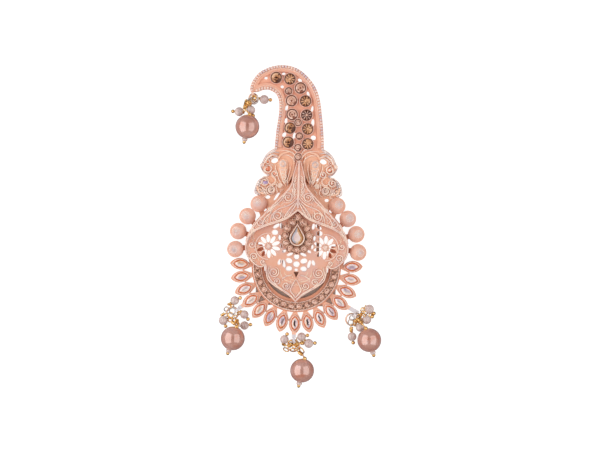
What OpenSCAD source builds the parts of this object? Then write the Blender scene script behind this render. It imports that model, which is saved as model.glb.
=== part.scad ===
// Kalgi turban ornament lying on its back, +Z up, +Y towards the plume.
// Outlines are drawn about the crescent's centre and moved once by place().

/* [Casting] */
// Thickness of the cast plate
plate_t = 1.6; // [1.4:0.1:1.8]
// Height of the rims and flat bands above the table
rim_top = 2.2; // [2.1:0.1:2.4]
// Height of the scrolls and stone settings above the table
relief_top = 2.7; // [2.6:0.05:2.8]
// Width of a raised scroll line
line_w = 0.5; // [0.4:0.05:0.6]

/* [Fringe and crescent] */
// Number of cut marquise stones in the fringe
fringe_n = 15; // [11:2:15]
// Angle from one marquise to the next
fringe_pitch = 13.2; // [13.2:0.1:13.6]
// Radius of the circle through the marquise centres
fringe_r = 23.4; // [23.2:0.1:23.8]
// Length of a marquise setting
marquise_l = 6.8; // [6.4:0.1:7]
// Width of a marquise setting
marquise_w = 4.0; // [3.8:0.1:4.2]
// Number of round stones in the crescent
crescent_n = 16; // [14:1:16]
// Radius of the circle through the crescent's stones
crescent_r = 16.3; // [16.2:0.1:16.4]

/* [Stones] */
// Radius of a large round stone
large_stone_r = 2.1; // [1.9:0.1:2.2]
// Radius of a small round stone
small_stone_r = 1.25; // [1.1:0.05:1.3]
// Metal left round a stone in its cup
cup_wall = 0.3; // [0.25:0.05:0.35]
// Radius of a domed stud
dome_r = 3.5; // [3.2:0.1:3.6]
// Radius of the ball that a stud's top is part of
dome_curve_r = 5; // [4.4:0.2:6]

/* [Raised plates] */
// Underside of the trefoil lattice above the table
trefoil_z = 3.3; // [3.3:0.1:3.5]
// Thickness of the trefoil lattice
trefoil_t = 1.1; // [1:0.1:1.2]
// Radius of the sphere that the upper leaf is pressed to
leaf_curve_r = 180; // [175:5:200]
// Thickness of the upper leaf
leaf_t = 1.1; // [1:0.1:1.2]

/* [Pendants] */
// Radius of a big pearl
pearl_r = 5; // [4.8:0.1:5]
// Radius of a jump ring's wire
ring_wire_r = 0.3; // [0.25:0.05:0.3]
// Radius of a big pearl's wire pin
pearl_wire_r = 0.25; // [0.2:0.01:0.25]
// Radius of a small bead's wire pin
bead_wire_r = 0.18; // [0.14:0.01:0.18]
// Height of the jump rings above the table
ring_z = 1.5; // [1.4:0.1:1.6]

/* [Back pin] */
// Radius of the pin's wire
pin_r = 0.6; // [0.5:0.05:0.6]
// Distance between the pin's two legs
pin_gap = 15; // [14:0.5:15]
// Length of a pin's leg from the bow to its end
pin_leg = 27; // [25:0.5:27]

/* [Hidden] */
crescent_at = [-2.2, -17.39];
gap = 0.05;
leaf_top = [0, 12, 7.3]; // the highest point of the pressed leaf
casting_colour = "#efb49b";
bright_colour = "#f6cdbb";
gold_colour = "#d9a24a";
stone_colour = "#c79a78";
kundan_colour = "#f3e2da";
pearl_colour = "#d8a092";
bead_colour = "#c8b4b8";
pin_colour = "#5a3a2a";
$fn = 36;

// Distance of the dome centres from the middle line and up from the crescent's centre
DOMES = [ // [x, y]
    [16.5, 26.4], [21.1, 21.1], [24.8, 14.7], [25.8, 7.1]
];
// Edges of the hooked plume, from its foot to its tip
PLUME_OUTER = [ // [x, y]
    [10.3, 49.6], [9.8, 57.5], [9.0, 64.4], [8.0, 70.7], [6.2, 75.7], [3.2, 79.8], [-0.7, 83.1],
    [-4.9, 84.7], [-9.1, 84.9], [-13.3, 84.0], [-17.5, 81.8], [-20.3, 78.4], [-21.4, 75.3], [-21.2, 73.5]
];
PLUME_INNER = [ // [x, y]
    [-10.5, 49.6], [-9.9, 57.6], [-9.2, 62.7], [-8.9, 66.9], [-9.2, 70.2], [-10.3, 72.7],
    [-11.9, 73.9], [-13.9, 74.6], [-16.0, 74.4], [-17.7, 73.7], [-19.0, 73.4]
];
PLUME_CUPS = [ // [x, y, stone radius]
    [-10.6, 79.6, large_stone_r], [-4.8, 79.2, large_stone_r], [-0.3, 75.5, large_stone_r],
    [-3.9, 70.1, large_stone_r], [2.0, 70.1, large_stone_r], [-3.5, 64.3, large_stone_r],
    [2.6, 64.2, large_stone_r], [-4.2, 58.6, large_stone_r], [3.2, 58.4, large_stone_r],
    [-4.8, 52.6, large_stone_r], [3.4, 52.1, large_stone_r], [-5.2, 74.1, small_stone_r],
    [-0.9, 61.0, small_stone_r], [-0.2, 55.3, small_stone_r], [-0.7, 50.4, small_stone_r],
    [-0.5, 46.6, small_stone_r]
];
PLUME_HOLES = [ // [x, y, length, width, angle]
    [-14.9, 79.4, 1.4, 1.2, 0], [-7.5, 81.4, 1.5, 1.1, 10], [-0.6, 78.8, 2.0, 1.4, -40],
    [-8.0, 75.9, 1.4, 1.3, 0], [3.0, 73.2, 2.2, 1.1, -70], [-5.9, 67.1, 2.3, 1.2, 80],
    [4.9, 66.9, 2.6, 1.0, 82], [-6.0, 61.6, 2.5, 1.2, 85], [5.3, 61.1, 3.2, 1.3, 88],
    [-6.6, 55.8, 2.1, 1.6, 60], [-2.4, 55.5, 2.7, 1.2, 80], [5.7, 54.8, 2.2, 2.0, 0]
];
// Right-hand edge of the shoulders, from the plume's foot down to the first dome
SHOULDER = [ // [x, y]
    [9.5, 50.3], [12.2, 48.9], [14.3, 46.7], [15.5, 44.2], [16.3, 42.4], [15.6, 40.5], [14.2, 39.0],
    [12.3, 38.4], [14.4, 38.0], [16.3, 36.9], [17.6, 35.3], [18.3, 33.2], [18.4, 30.9], [16.6, 29.8]
];
// Openings through the shoulders
SHOULDER_HOLES = [ // [x, y, length, width, angle]
    [-10.3, 44.8, 3.0, 2.1, 20], [10.1, 44.8, 3.0, 2.1, -20], [-12.8, 29.4, 2.1, 1.5, 0],
    [12.0, 28.6, 1.7, 1.3, 0], [-9.1, 29.7, 4.0, 1.0, 56], [7.8, 37.2, 1.5, 0.9, 60]
];
// Scrolls on each shoulder, drawn as rings that close inwards
SHOULDER_SCROLLS = [ // [x, y, radius, start angle, turns]
    [13.2, 41.1, 1.8, 60, 1.4], [10.4, 39.3, 1.3, 200, 1.2], [14.4, 35.7, 1.9, 90, 1.4],
    [11.6, 32.5, 2.2, 230, 1.6], [15.9, 32.3, 1.5, 40, 1.2]
];
SIDE_BAND = [ // [x, y]
    [6.0, 25.6], [11.5, 22.6], [15.6, 18.0], [17.9, 12.6], [18.5, 7.2], [17.8, 2.0], [16.9, -2.0]
];
// Half of the trefoil's outline, from its top under the leaf to its lower tip
TREFOIL = [ // [x, y]
    [0.0, 25.4], [5.0, 23.6], [10.0, 20.4], [15.4, 17.4], [19.0, 14.0], [21.2, 10.6], [21.8, 8.1],
    [21.2, 5.2], [20.0, 3.1], [18.2, 1.3], [16.2, 0.0], [14.4, -0.3], [13.1, 0.4], [12.9, -2.2],
    [12.2, -5.0], [11.1, -6.4], [9.2, -7.9], [5.9, -9.9], [2.7, -12.0], [0.0, -14.5]
];
// Openings beside the rosettes, on the right; the left mirrors them
LATTICE_HOLES = [ // [x, y, length, width, angle]
    [8.8, 17.3, 3.0, 1.3, -35], [6.7, 17.4, 2.4, 1.1, 80], [9.3, 14.6, 2.4, 2.0, 0],
    [7.3, 12.5, 2.0, 0.9, 85], [6.5, 8.9, 1.7, 0.8, 80], [5.2, 6.9, 1.6, 0.9, -30],
    [2.8, 5.6, 2.6, 1.0, -22], [7.1, 2.2, 2.2, 1.1, 110], [5.3, 1.6, 3.2, 1.1, 75],
    [3.1, 2.9, 2.6, 1.9, 20], [3.1, -0.4, 2.4, 1.8, -10]
];
MIDDLE_HOLES = [ // [x, y, length, width, angle]
    [0, 4.7, 2.2, 2.0, 90], [0, 1.5, 2.4, 2.2, 0], [0, -0.9, 1.1, 0.9, 0]
];
rosette_at = [11.9, 8.7];
rosette_petals = 10;
rosette_turn = 14; // angle of the first petal
// Half of the upper leaf's outline, from the stem's top out to the side tip and back along the rib
LEAF_TOP = [ // [x, y]
    [0.9, 45.0], [2.6, 38.7], [3.1, 35.2], [5.1, 32.2], [8.2, 28.9], [11.9, 24.9], [15.1, 21.3],
    [18.2, 17.8], [20.4, 14.2], [21.6, 10.6]
];
LEAF_RIB = [ // [x, y]
    [21.2, 10.3], [18.9, 13.9], [14.2, 16.7], [9.0, 18.6], [4.3, 20.5], [0.0, 23.9]
];
// Veins on the right half of the leaf, each a smooth line
LEAF_VEINS = [
    [[0.2, 29.4], [2.0, 27.3], [4.4, 25.8], [7.8, 24.6], [10.0, 22.8], [11.1, 20.7], [11.3, 18.6]],
    [[0.2, 28.0], [1.2, 25.8], [2.7, 23.4], [4.2, 21.0]],
    [[1.0, 27.2], [3.2, 24.8], [5.0, 22.2], [5.8, 20.2]],
    [[11.0, 23.0], [13.5, 20.6], [14.6, 18.2], [14.3, 17.2]],
    [[4.6, 32.0], [7.2, 28.0], [10.6, 25.0], [13.0, 22.4]],
    [[1.0, 37.0], [2.2, 34.6], [1.2, 32.4]]
];
LEAF_SCROLLS = [ // [x, y, radius, start angle, turns]
    [8.3, 21.6, 2.3, 150, 1.7], [4.2, 29.4, 2.3, -60, 1.7], [15.6, 18.7, 1.7, 160, 1.4],
    [18.5, 15.4, 1.1, 150, 1.2], [11.8, 24.4, 1.0, 120, 1.1]
];
// Scrolls on the right half of the trefoil
TREFOIL_SCROLLS = [ // [x, y, radius, start angle, turns]
    [17.9, 4.3, 1.8, 250, 1.5], [18.9, 9.2, 1.5, 100, 1.3], [9.4, -2.1, 2.3, 100, 1.7],
    [8.1, -6.0, 1.6, 30, 1.4], [4.1, -7.6, 1.7, 150, 1.5], [14.1, 2.1, 1.2, 200, 1.2]
];
TREFOIL_VEINS = [
    [[11.4, 0.4], [11.8, -2.6], [10.6, -5.4], [7.4, -8.1], [3.4, -10.6], [0.4, -13.2]],
    [[0.0, -4.8], [1.3, -7.0], [2.2, -9.6], [0.9, -11.4], [0.0, -12.6]],
    [[1.6, -3.0], [4.0, -3.6], [6.0, -5.0]]
];
// Small cups round the teardrop, right half from top to bottom
CENTRE_CUPS = [ // [x, y]
    [0, 21.1], [2.3, 18.9], [4.3, 16.5], [5.0, 13.5], [4.7, 10.5], [3.0, 8.0], [0, 7.1]
];
teardrop_y = 12.4;
teardrop_r = 2.45;
teardrop_tip = 4.9;
// Posts under the trefoil lattice, on the right; the left mirrors them
TREFOIL_POSTS = [[18.7, 8.2], [17.2, 13.2], [17.6, 3.2]];
pin_at = [1.3, 26];
pin_z = 0.8;
pin_shoulder = 3; // the thick start of each leg
stem_post_top = 3.5; // the block under the leaf's stem
pin_play = 0.07; // room round the pin in the plate
milled_edge = 2.7; // width of the plume's raised border
deck = 1; // height inside the plate where raised work starts
crescent_inner_r = 13.5;
crescent_inner_y = 0.4;
back_plate_t = 0.6; // the plain plate behind the trefoil's lower tip
back_plate_w = 33.6;
back_plate_y = [-16, -1.75];
back_plate_r = 21.5; // rounds the plate's lower corners
dome_wall = 0.8; // height of a stud's upright edge
dome_eye = 0.9; // how far a stud's rosette lies outside its middle

// Pendants. Each row of BEADS hangs on the jump ring of the pendant with the same number.
tip = 0;
left = 1;
centre = 2;
right = 3;
RINGS = [ // [eye x, eye y, hang direction, ring radius]
    [-20.3, 72.6, -80, 1.8], [-24.35, -18.3, 217.6, 2.45], [-0.3, -30.35, 270, 2.45],
    [25.17, -19.1, 238, 2.45]
];
ARMS = [ // [x, y] at the fringe, then [x, y] at the eye
    [-21.11, -15.85, -23.64, -17.75], [-0.26, -26.4, -0.29, -29.45], [21.3, -15.54, 26.5, -18.4]
];
PEARLS = [ // [x, y, axis direction, angle on ring, knee x, knee y, knee z]
    [-22.1, 58.6, -100, 198, -23.7, 66.0, 3.6], [-25.8, -30.3, -107, 268, -25.2, -24.3, 3.4],
    [3.6, -43.0, -101, -50, 3.4, -36.4, 3.4], [31.4, -29.5, -72, -4, 28.2, -22.7, 3.6]
];
BEADS = [ // [pendant, x, y, radius, axis direction, angle on ring]
    [tip, -15.4, 70.3, 1.9, -2, 0], [tip, -25.8, 64.9, 1.9, 178, 222], [tip, -20.9, 65.7, 1.85, -66, 250],
    [left, -25.5, -14.5, 1.8, 27, 108], [left, -30.1, -23.0, 1.9, -66, 185],
    [left, -21.3, -20.3, 1.75, -50, 8], [left, -21.1, -24.9, 1.8, 10, -62],
    [centre, -4.2, -30.3, 1.8, 64, 180], [centre, 3.0, -29.0, 1.8, 15, 64],
    [centre, 6.1, -31.7, 1.9, 5, 22],
    [right, 31.2, -16.6, 1.9, -42, 16], [right, 30.2, -21.0, 1.9, 29, -26],
    [right, 27.5, -24.4, 1.8, -15, -64], [right, 24.2, -28.4, 1.85, -77, -95]
];
bead_ball_r = 0.65;
spacer_r = 0.75;
tail_ball_r = 0.58;
eye_r = 1.35;
eye_hole_r = 0.72;
eye_t = 1.0;
arm_w = 1.7;
loop_r = 0.58;
pearl_loop_r = 0.76;
loop_wire = 1.06; // a loop's wire radius over its pin's
hole_play = 0.12;
knuckle = 1.28; // a knuckle's radius over the wire's

pendant_names = ["tip", "left", "centre", "right"];

function dir(a) = [cos(a), sin(a)];
function flip(p) = [for (q = p) [-q[0], q[1]]];
function reverse(p) = [for (i = [len(p) - 1:-1:0]) p[i]];
function both_sides(p) = concat(p, reverse(flip(p)));

// A point of the smooth curve through a, b, c and d, between b and c
function curve_point(a, b, c, d, t) =
    0.5 * (2 * b + (c - a) * t + (2 * a - 5 * b + 4 * c - d) * t * t + (3 * b - a - 3 * c + d) * t * t * t);
// A smooth line through the points p, with n steps from each to the next
function smooth(p, n = 4) = concat(
    [for (i = [0:len(p) - 2], k = [0:n - 1])
        curve_point(p[max(i - 1, 0)], p[i], p[i + 1], p[min(i + 2, len(p) - 1)], k / n)],
    [p[len(p) - 1]]
);
function heading(p, i) =
    let (d = p[min(i + 1, len(p) - 1)] - p[max(i - 1, 0)]) d / max(norm(d), 0.001);
// A ribbon of width w along the line p, with narrowed ends
function ribbon(p, w) =
    let (
        n = len(p) - 1,
        side = function(i, s) let (
            h = heading(p, i),
            k = w / 2 * min(1, 0.45 + 3 * min(i, n - i) / n)
        ) p[i] + s * k * [-h[1], h[0]]
    ) concat([for (i = [0:n]) side(i, 1)], [for (i = [n:-1:0]) side(i, -1)]);
// A line that winds inwards from radius r to a third of it
function scroll(x, y, r, start, turns) =
    let (n = ceil(turns * 14)) [for (i = [0:n])
        [x, y] + r * (1 - 0.68 * i / n) * dir(start + 360 * turns * i / n)];
// An ellipse of length l and width w
function oval(l, w, n = 16) = [for (i = [0:n - 1]) let (a = 360 * i / n) [l / 2 * cos(a), w / 2 * sin(a)]];
// A vesica of length l and width w
function marquise(l, w, n = 16) =
    let (R = (l * l + w * w) / (4 * w), half = asin(l / (2 * R)))
    [for (s = [1, -1], i = [0:n / 2 - 1])
        let (a = s * (half - 2 * half * i / (n / 2)))
        s * [R * sin(half - 2 * half * i / (n / 2)), R * cos(half - 2 * half * i / (n / 2)) - (R - w / 2)]];
// A teardrop with its tip at +Y: a circle of radius r and a tip t above the centre
function teardrop(r, t, n = 16) =
    let (lean = acos(r / t))
    concat([[0, t]], [for (i = [0:n - 2])
        let (a = 90 + lean + (360 - 2 * lean) * i / (n - 2)) r * dir(a)]);

module place() { translate([crescent_at[0], crescent_at[1], 0]) children(); }
module mirrored() { children(); mirror([1, 0, 0]) children(); }
module slab(z0, z1) { translate([0, 0, z0]) linear_extrude(z1 - z0) offset(delta = 0.005) children(); }
module line(p, w = line_w) { polygon(ribbon(smooth(p), w)); }
module scrolls(rows, w = line_w) {
    for (r = rows) {
        polygon(ribbon(scroll(r[0], r[1], r[2], r[3], r[4]), w));
        translate([r[0], r[1]]) circle(w * 0.75, $fn = 10);
    }
}
module openings(rows) {
    for (h = rows) translate([h[0], h[1]]) rotate(h[4]) polygon(oval(h[2], h[3]));
}

// Cut stones. The outline g is the girdle with an even number of points; the table is smaller.
module cut_stone(g, table, crown, girdle, depth) {
    n = len(g);
    m = n / 2;
    mid = (1 + table) / 2;
    rise = crown * (1 - mid * cos(180 / m)) / (1 - table);
    tab = [for (i = [0:m - 1]) [g[2 * i][0] * table, g[2 * i][1] * table, girdle + crown]];
    star = [for (i = [0:m - 1]) let (q = (g[2 * i] + g[(2 * i + 2) % n]) / 2 / cos(180 / m))
        [q[0] * mid, q[1] * mid, girdle + rise]];
    top = [for (q = g) [q[0], q[1], girdle]];
    low = [for (q = g) [q[0], q[1], 0]];
    cut = [for (q = g) [q[0] * 0.35, q[1] * 0.35, -depth]];
    s0 = m;
    g0 = 2 * m;
    l0 = g0 + n;
    c0 = l0 + n;
    polyhedron(concat(tab, star, top, low, cut), concat(
        [[for (i = [m - 1:-1:0]) i]],
        [for (i = [0:m - 1]) let (j = (i + 1) % m) [i, j, s0 + i]],
        [for (i = [0:m - 1]) [i, s0 + i, g0 + 2 * i]],
        [for (i = [0:m - 1]) let (h = (i + m - 1) % m) [i, g0 + 2 * i, s0 + h]],
        [for (i = [0:m - 1]) [s0 + i, g0 + 2 * i + 1, g0 + 2 * i]],
        [for (i = [0:m - 1]) [s0 + i, g0 + (2 * i + 2) % n, g0 + 2 * i + 1]],
        [for (i = [0:n - 1]) let (j = (i + 1) % n) [g0 + i, g0 + j, l0 + j]],
        [for (i = [0:n - 1]) let (j = (i + 1) % n) [g0 + i, l0 + j, l0 + i]],
        [for (i = [0:n - 1]) let (j = (i + 1) % n) [l0 + i, l0 + j, c0 + j]],
        [for (i = [0:n - 1]) let (j = (i + 1) % n) [l0 + i, c0 + j, c0 + i]],
        [[for (i = [0:n - 1]) c0 + i]]
    ));
}
function ring_points(r, n = 16) = [for (i = [0:n - 1]) r * dir(360 * i / n)];
module round_stone(x, y, r, z) {
    translate([x, y, z]) cut_stone(ring_points(r), 0.56, r * 0.3, 0.12, r * 0.35);
}

function crescent_angle(i) = 180 + 180 * i / (crescent_n - 1);
function crescent_point(i) = crescent_r * dir(crescent_angle(i));
function fringe_angle(i) = 270 + fringe_pitch * (i - (fringe_n - 1) / 2);
function plume_outline() = concat(smooth(PLUME_OUTER, 4), reverse(smooth(PLUME_INNER, 4)));
function eye_at(k) = [RINGS[k][0], RINGS[k][1]];
function ring_centre(k) = eye_at(k) + RINGS[k][3] * dir(RINGS[k][2]);
function on_ring(k, a) = ring_centre(k) + RINGS[k][3] * dir(a);

// Flat outlines of the casting
module shoulder_outline() {
    polygon(concat([[0, 50.5]], smooth(SHOULDER, 3), [[13.0, 24.0], [6.0, 23.6], [0, 25.0]]));
}
module dome_seats() {
    for (d = DOMES) {
        translate(d) circle(dome_r - 0.1);
        translate(d) rotate(atan2(10 - d[1], 10 - d[0])) translate([0, -1.1]) square([5.2, 2.2]);
    }
}
module crescent_outline() {
    intersection() {
        difference() {
            circle(18.3, $fn = 96);
            translate([0, crescent_inner_y]) circle(crescent_inner_r, $fn = 96);
        }
        translate([-25, -25]) square([50, 26.6]);
    }
}
module back_plate() {
    intersection() {
        circle(back_plate_r, $fn = 96);
        translate([-back_plate_w / 2, back_plate_y[0]]) square([back_plate_w, back_plate_y[1] - back_plate_y[0]]);
    }
}
module fringe_outline() {
    intersection() {
        difference() { circle(22.6, $fn = 96); circle(18.0, $fn = 96); }
        translate([-25, -25]) square([50, 26.6]);
    }
    for (i = [0:fringe_n - 1]) rotate(fringe_angle(i)) translate([fringe_r + 0.35, 0])
        polygon(marquise(marquise_l + 1.7, marquise_w + 0.9));
}
module fringe_openings() {
    for (i = [0:fringe_n - 2]) rotate(fringe_angle(i) + fringe_pitch / 2)
        polygon([[18.75, -1.3], [18.75, 1.3], [20.2, 0.75], [22.1, 0], [20.2, -0.75]]);
}
module side_shield() {
    polygon([[13.6, 2.6], [18, 2.0], [18.6, 9.2], [14.6, 9.4], [13.3, 6.0]]);
}
module casting_outline() {
    difference() {
        union() {
            polygon(plume_outline());
            mirrored() {
                shoulder_outline();
                dome_seats();
                line(SIDE_BAND, 4.2);
                side_shield();
            }
            crescent_outline();
            fringe_outline();
        }
        openings(SHOULDER_HOLES);
        openings(PLUME_HOLES);
        fringe_openings();
    }
}
// Raised rims: the plume's milled edge and flat band, the crescent's two rims
module rims() {
    difference() {
        offset(delta = -0.1) polygon(plume_outline());
        offset(delta = -milled_edge) polygon(plume_outline());
        for (c = PLUME_CUPS) translate([c[0], c[1]]) circle(c[2]);
        offset(delta = 0.1) openings(PLUME_HOLES);
        translate([-12, 44]) square([24, 6.4]);
        translate([-7.5, 44]) square([14.85, 9]);
    }
    intersection() {
        union() {
            difference() { circle(18.2, $fn = 96); circle(17.75, $fn = 96); }
            difference() { circle(14.95, $fn = 96); circle(14.5, $fn = 96); }
        }
        translate([-25, -25]) square([50, 26.4]);
    }
    for (i = [0:fringe_n - 1]) rotate(fringe_angle(i)) translate([fringe_r, 0])
        polygon(marquise(marquise_l + 0.6, marquise_w + 0.3));
}
// Birds, crest arcs and scrolls of the shoulders
module shoulder_relief() {
    mirrored() {
        scrolls(SHOULDER_SCROLLS);
        line([[8.6, 46.2], [11.2, 47.2], [13.4, 45.6], [14.8, 43.2]], 1.1);
        line([[4.0, 48.6], [7.4, 47.6], [9.0, 45.2]], 0.7);
        line([[12.0, 38.4], [9.6, 36.6], [10.6, 34.6], [13.0, 33.8]], 0.7);
        line([[17.4, 33.8], [16.6, 31.6], [14.2, 30.6]], 0.8);
        line([[2.6, 46.8], [2.2, 43.0], [2.9, 39.4], [4.4, 35.6]], 0.7);
    }
}
module bird_body() {
    polygon(smooth([[6.8, 45.7], [8.9, 44.4], [9.1, 42.4], [8.9, 40.4], [8.2, 38.2], [6.8, 35.9], [5.2, 33.9],
        [5.3, 36.4], [5.0, 38.6], [4.7, 40.8], [4.6, 43.4], [5.6, 45.2], [6.8, 45.7]], 3));
}
module bird_head() {
    translate([6.8, 43.5, deck]) intersection() {
        translate([0, 0, -0.1]) sphere(2.3);
        cylinder(r = 2, h = 3);
    }
    translate([6.8, 43.5, 2.8]) cylinder(r = 0.45, h = 0.7);
}

// An upright eye that a jump ring passes through
module eye(k) {
    translate([eye_at(k)[0], eye_at(k)[1], ring_z]) rotate([90, 0, RINGS[k][2]])
        cylinder(r = eye_r, h = eye_t, center = true);
}
module eye_bore(k) {
    translate([eye_at(k)[0], eye_at(k)[1], ring_z]) rotate([90, 0, RINGS[k][2]])
        cylinder(r = eye_hole_r, h = 4, center = true);
}
module arm(a) {
    translate([a[0], a[1], 0.2]) rotate(atan2(a[3] - a[1], a[2] - a[0]))
        translate([-0.6, -arm_w / 2, 0]) cube([norm([a[2] - a[0], a[3] - a[1]]) + 0.6, arm_w, 2.1]);
}
module cup(x, y, r, z0, z1) { translate([x, y, z0]) cylinder(r = r + cup_wall, h = z1 - z0); }
module cup_bore(x, y, r, z0) { translate([x, y, z0]) cylinder(r = r + gap, h = 5); }

module frame() color(casting_colour) place() difference() {
    union() {
        slab(0, plate_t) casting_outline();
        slab(0, back_plate_t) back_plate();
        slab(plate_t - 0.3, rim_top) rims();
        slab(plate_t - 0.2, relief_top - 0.1) shoulder_relief();
        slab(plate_t - 0.4, relief_top - 0.4) mirrored() bird_body();
        slab(plate_t - 0.3, relief_top) mirrored() offset(delta = -0.7) bird_body();
        mirrored() bird_head();
        for (c = PLUME_CUPS) cup(c[0], c[1], c[2], deck, relief_top);
        for (i = [0:crescent_n - 1])
            cup(crescent_point(i)[0], crescent_point(i)[1], small_stone_r, deck, relief_top - 0.05);
        slab(deck, relief_top + 0.2) for (i = [0:fringe_n - 1]) rotate(fringe_angle(i))
            translate([fringe_r, 0]) polygon(marquise(marquise_l - 0.5, marquise_w - 0.3));
        for (p = TREFOIL_POSTS) mirrored() translate([p[0], p[1], deck]) cylinder(r = 1, h = trefoil_z - gap - deck);
        translate([-1.5, 30, deck]) cube([3, 12.5, stem_post_top - deck]);
        for (a = ARMS) arm(a);
        for (k = [tip, left, centre, right]) eye(k);
    }
    for (k = [tip, left, centre, right]) eye_bore(k);
    for (c = PLUME_CUPS) cup_bore(c[0], c[1], c[2], plate_t - 0.1);
    for (i = [0:crescent_n - 1])
        cup_bore(crescent_point(i)[0], crescent_point(i)[1], small_stone_r, plate_t - 0.1);
    slab(plate_t - 0.1, 5) for (i = [0:fringe_n - 1]) rotate(fringe_angle(i))
        translate([fringe_r, 0]) polygon(marquise(marquise_l - 1.3, marquise_w - 1));
    pin_wire(pin_play);
}

module petal_openings() {
    translate(rosette_at) for (i = [0:rosette_petals - 1])
        rotate(rosette_turn + 360 * i / rosette_petals) translate([3.3, 0]) polygon(oval(3.4, 1.55));
}
module trefoil_outline() {
    polygon(concat(smooth(TREFOIL, 3), reverse(flip(smooth(TREFOIL, 3)))));
}
module trefoil_lattice() color(casting_colour) place() union() {
    slab(trefoil_z, trefoil_z + trefoil_t) difference() {
        trefoil_outline();
        mirrored() { petal_openings(); openings(LATTICE_HOLES); }
        openings(MIDDLE_HOLES);
        polygon([[-1.15, -1.7], [1.15, -1.7], [0, -4.3]]);
    }
    slab(trefoil_z + trefoil_t - 0.2, trefoil_z + trefoil_t + 0.35) {
        difference() {
            offset(delta = -0.12) trefoil_outline();
            offset(delta = -0.65) trefoil_outline();
            translate([-16, 16.5]) square([32, 12]);
        }
        mirrored() {
            scrolls(TREFOIL_SCROLLS);
            for (v = TREFOIL_VEINS) line(v);
            translate(rosette_at) difference() {
                circle(5.75);
                circle(5.3);
                translate([-14, -7]) square([14, 14]);
            }
            translate(rosette_at) circle(0.9, $fn = 20);
        }
    }
}

module leaf_outline() {
    half = concat(smooth(LEAF_TOP, 3), smooth(LEAF_RIB, 3));
    polygon(concat(half, reverse(flip(half))));
}
module leaf_shell(low, high) {
    intersection() {
        slab(2, 10) children();
        difference() {
            translate(leaf_top - [0, 0, leaf_curve_r]) sphere(leaf_curve_r + high, $fn = 360);
            translate(leaf_top - [0, 0, leaf_curve_r]) sphere(leaf_curve_r + low, $fn = 360);
        }
    }
}
module leaf_relief() {
    intersection() {
        offset(delta = -0.1) leaf_outline();
        union() {
            mirrored() {
                for (v = LEAF_VEINS) line(v);
                scrolls(LEAF_SCROLLS);
                line([for (p = LEAF_RIB) p + [0, 0.45]], 0.9);
                line([for (p = LEAF_TOP) p - [0.3, 0.2]], 0.5);
            }
            polygon([[-0.35, 45], [0.35, 45], [0.55, 34], [0.45, 25], [-0.45, 25], [-0.55, 34]]);
        }
    }
}
module upper_leaf() color(bright_colour) place() union() {
    leaf_shell(-leaf_t, 0) leaf_outline();
    leaf_shell(-0.3, 0.4) leaf_relief();
}

function centre_cups() = concat(CENTRE_CUPS, [for (c = CENTRE_CUPS) if (c[0] > 0) [-c[0], c[1]]]);
centre_z = trefoil_z + trefoil_t + gap;
module centre_setting() color(bright_colour) place() difference() {
    union() {
        slab(centre_z, centre_z + 0.7) {
            for (c = centre_cups()) translate(c) circle(small_stone_r + cup_wall + 0.1, $fn = 24);
            translate([0, teardrop_y]) polygon(teardrop(teardrop_r + 1.1, teardrop_tip + 2.2, 28));
        }
        for (c = centre_cups()) cup(c[0], c[1], small_stone_r, centre_z + 0.2, centre_z + 1.5);
        slab(centre_z + 0.3, centre_z + 2.1) translate([0, teardrop_y])
            polygon(teardrop(teardrop_r + 0.75, teardrop_tip + 1.2, 28));
    }
    for (c = centre_cups()) cup_bore(c[0], c[1], small_stone_r, centre_z + 0.6);
    slab(centre_z + 0.6, 12) translate([0, teardrop_y])
        polygon(teardrop(teardrop_r + gap, teardrop_tip + 2 * gap, 28));
}

// The pin lies behind the plate: two legs that stick out of a thicker bow. extra widens it all.
module pin_wire(extra) {
    bow_r = pin_r + 0.1 + extra;
    translate([pin_at[0], pin_at[1], pin_z]) {
        for (s = [-1, 1]) translate([s * pin_gap / 2, 0, 0]) rotate([90, 0, 0]) {
            cylinder(r = bow_r, h = pin_shoulder);
            cylinder(r = pin_r + extra, h = pin_leg);
            translate([0, 0, pin_leg]) sphere(pin_r + extra);
        }
        rotate_extrude(angle = 180) translate([pin_gap / 2, 0]) circle(bow_r);
    }
}
module back_pin() color(pin_colour) place() pin_wire(0);

// A low dome with a flat rosette on its outer half
module dome(i, s) color(casting_colour) place() translate([s * DOMES[i][0], DOMES[i][1], plate_t + gap]) {
    drop = sqrt(dome_curve_r * dome_curve_r - dome_r * dome_r);
    intersection() {
        translate([0, 0, dome_wall - drop]) sphere(dome_curve_r);
        cylinder(r = dome_r, h = 5);
    }
    rotate(atan2(DOMES[i][1] - teardrop_y, s * DOMES[i][0])) translate([dome_eye, 0, dome_wall])
        cylinder(r = 0.75, h = dome_curve_r - drop + 0.05);
}

module marquise_stone(i) color(kundan_colour) place()
    rotate(fringe_angle(i)) translate([fringe_r, 0, plate_t + 0.75])
        cut_stone(marquise(marquise_l - 1.4, marquise_w - 1.1), 0.5, 0.6, 0.5, 0.75);
module teardrop_stone() color(kundan_colour) place()
    translate([0, teardrop_y, centre_z + 1.45])
        cut_stone(teardrop(teardrop_r, teardrop_tip), 0.6, 0.7, 0.3, 0.7);
module plume_stones() color(stone_colour) place()
    for (c = PLUME_CUPS) round_stone(c[0], c[1], c[2], plate_t + 0.75);
module crescent_stones() color(stone_colour) place()
    for (i = [0:crescent_n - 1]) round_stone(crescent_point(i)[0], crescent_point(i)[1], small_stone_r, 2.55);
module centre_stones() color(stone_colour) place()
    for (c = centre_cups()) round_stone(c[0], c[1], small_stone_r, centre_z + 1.15);

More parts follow.
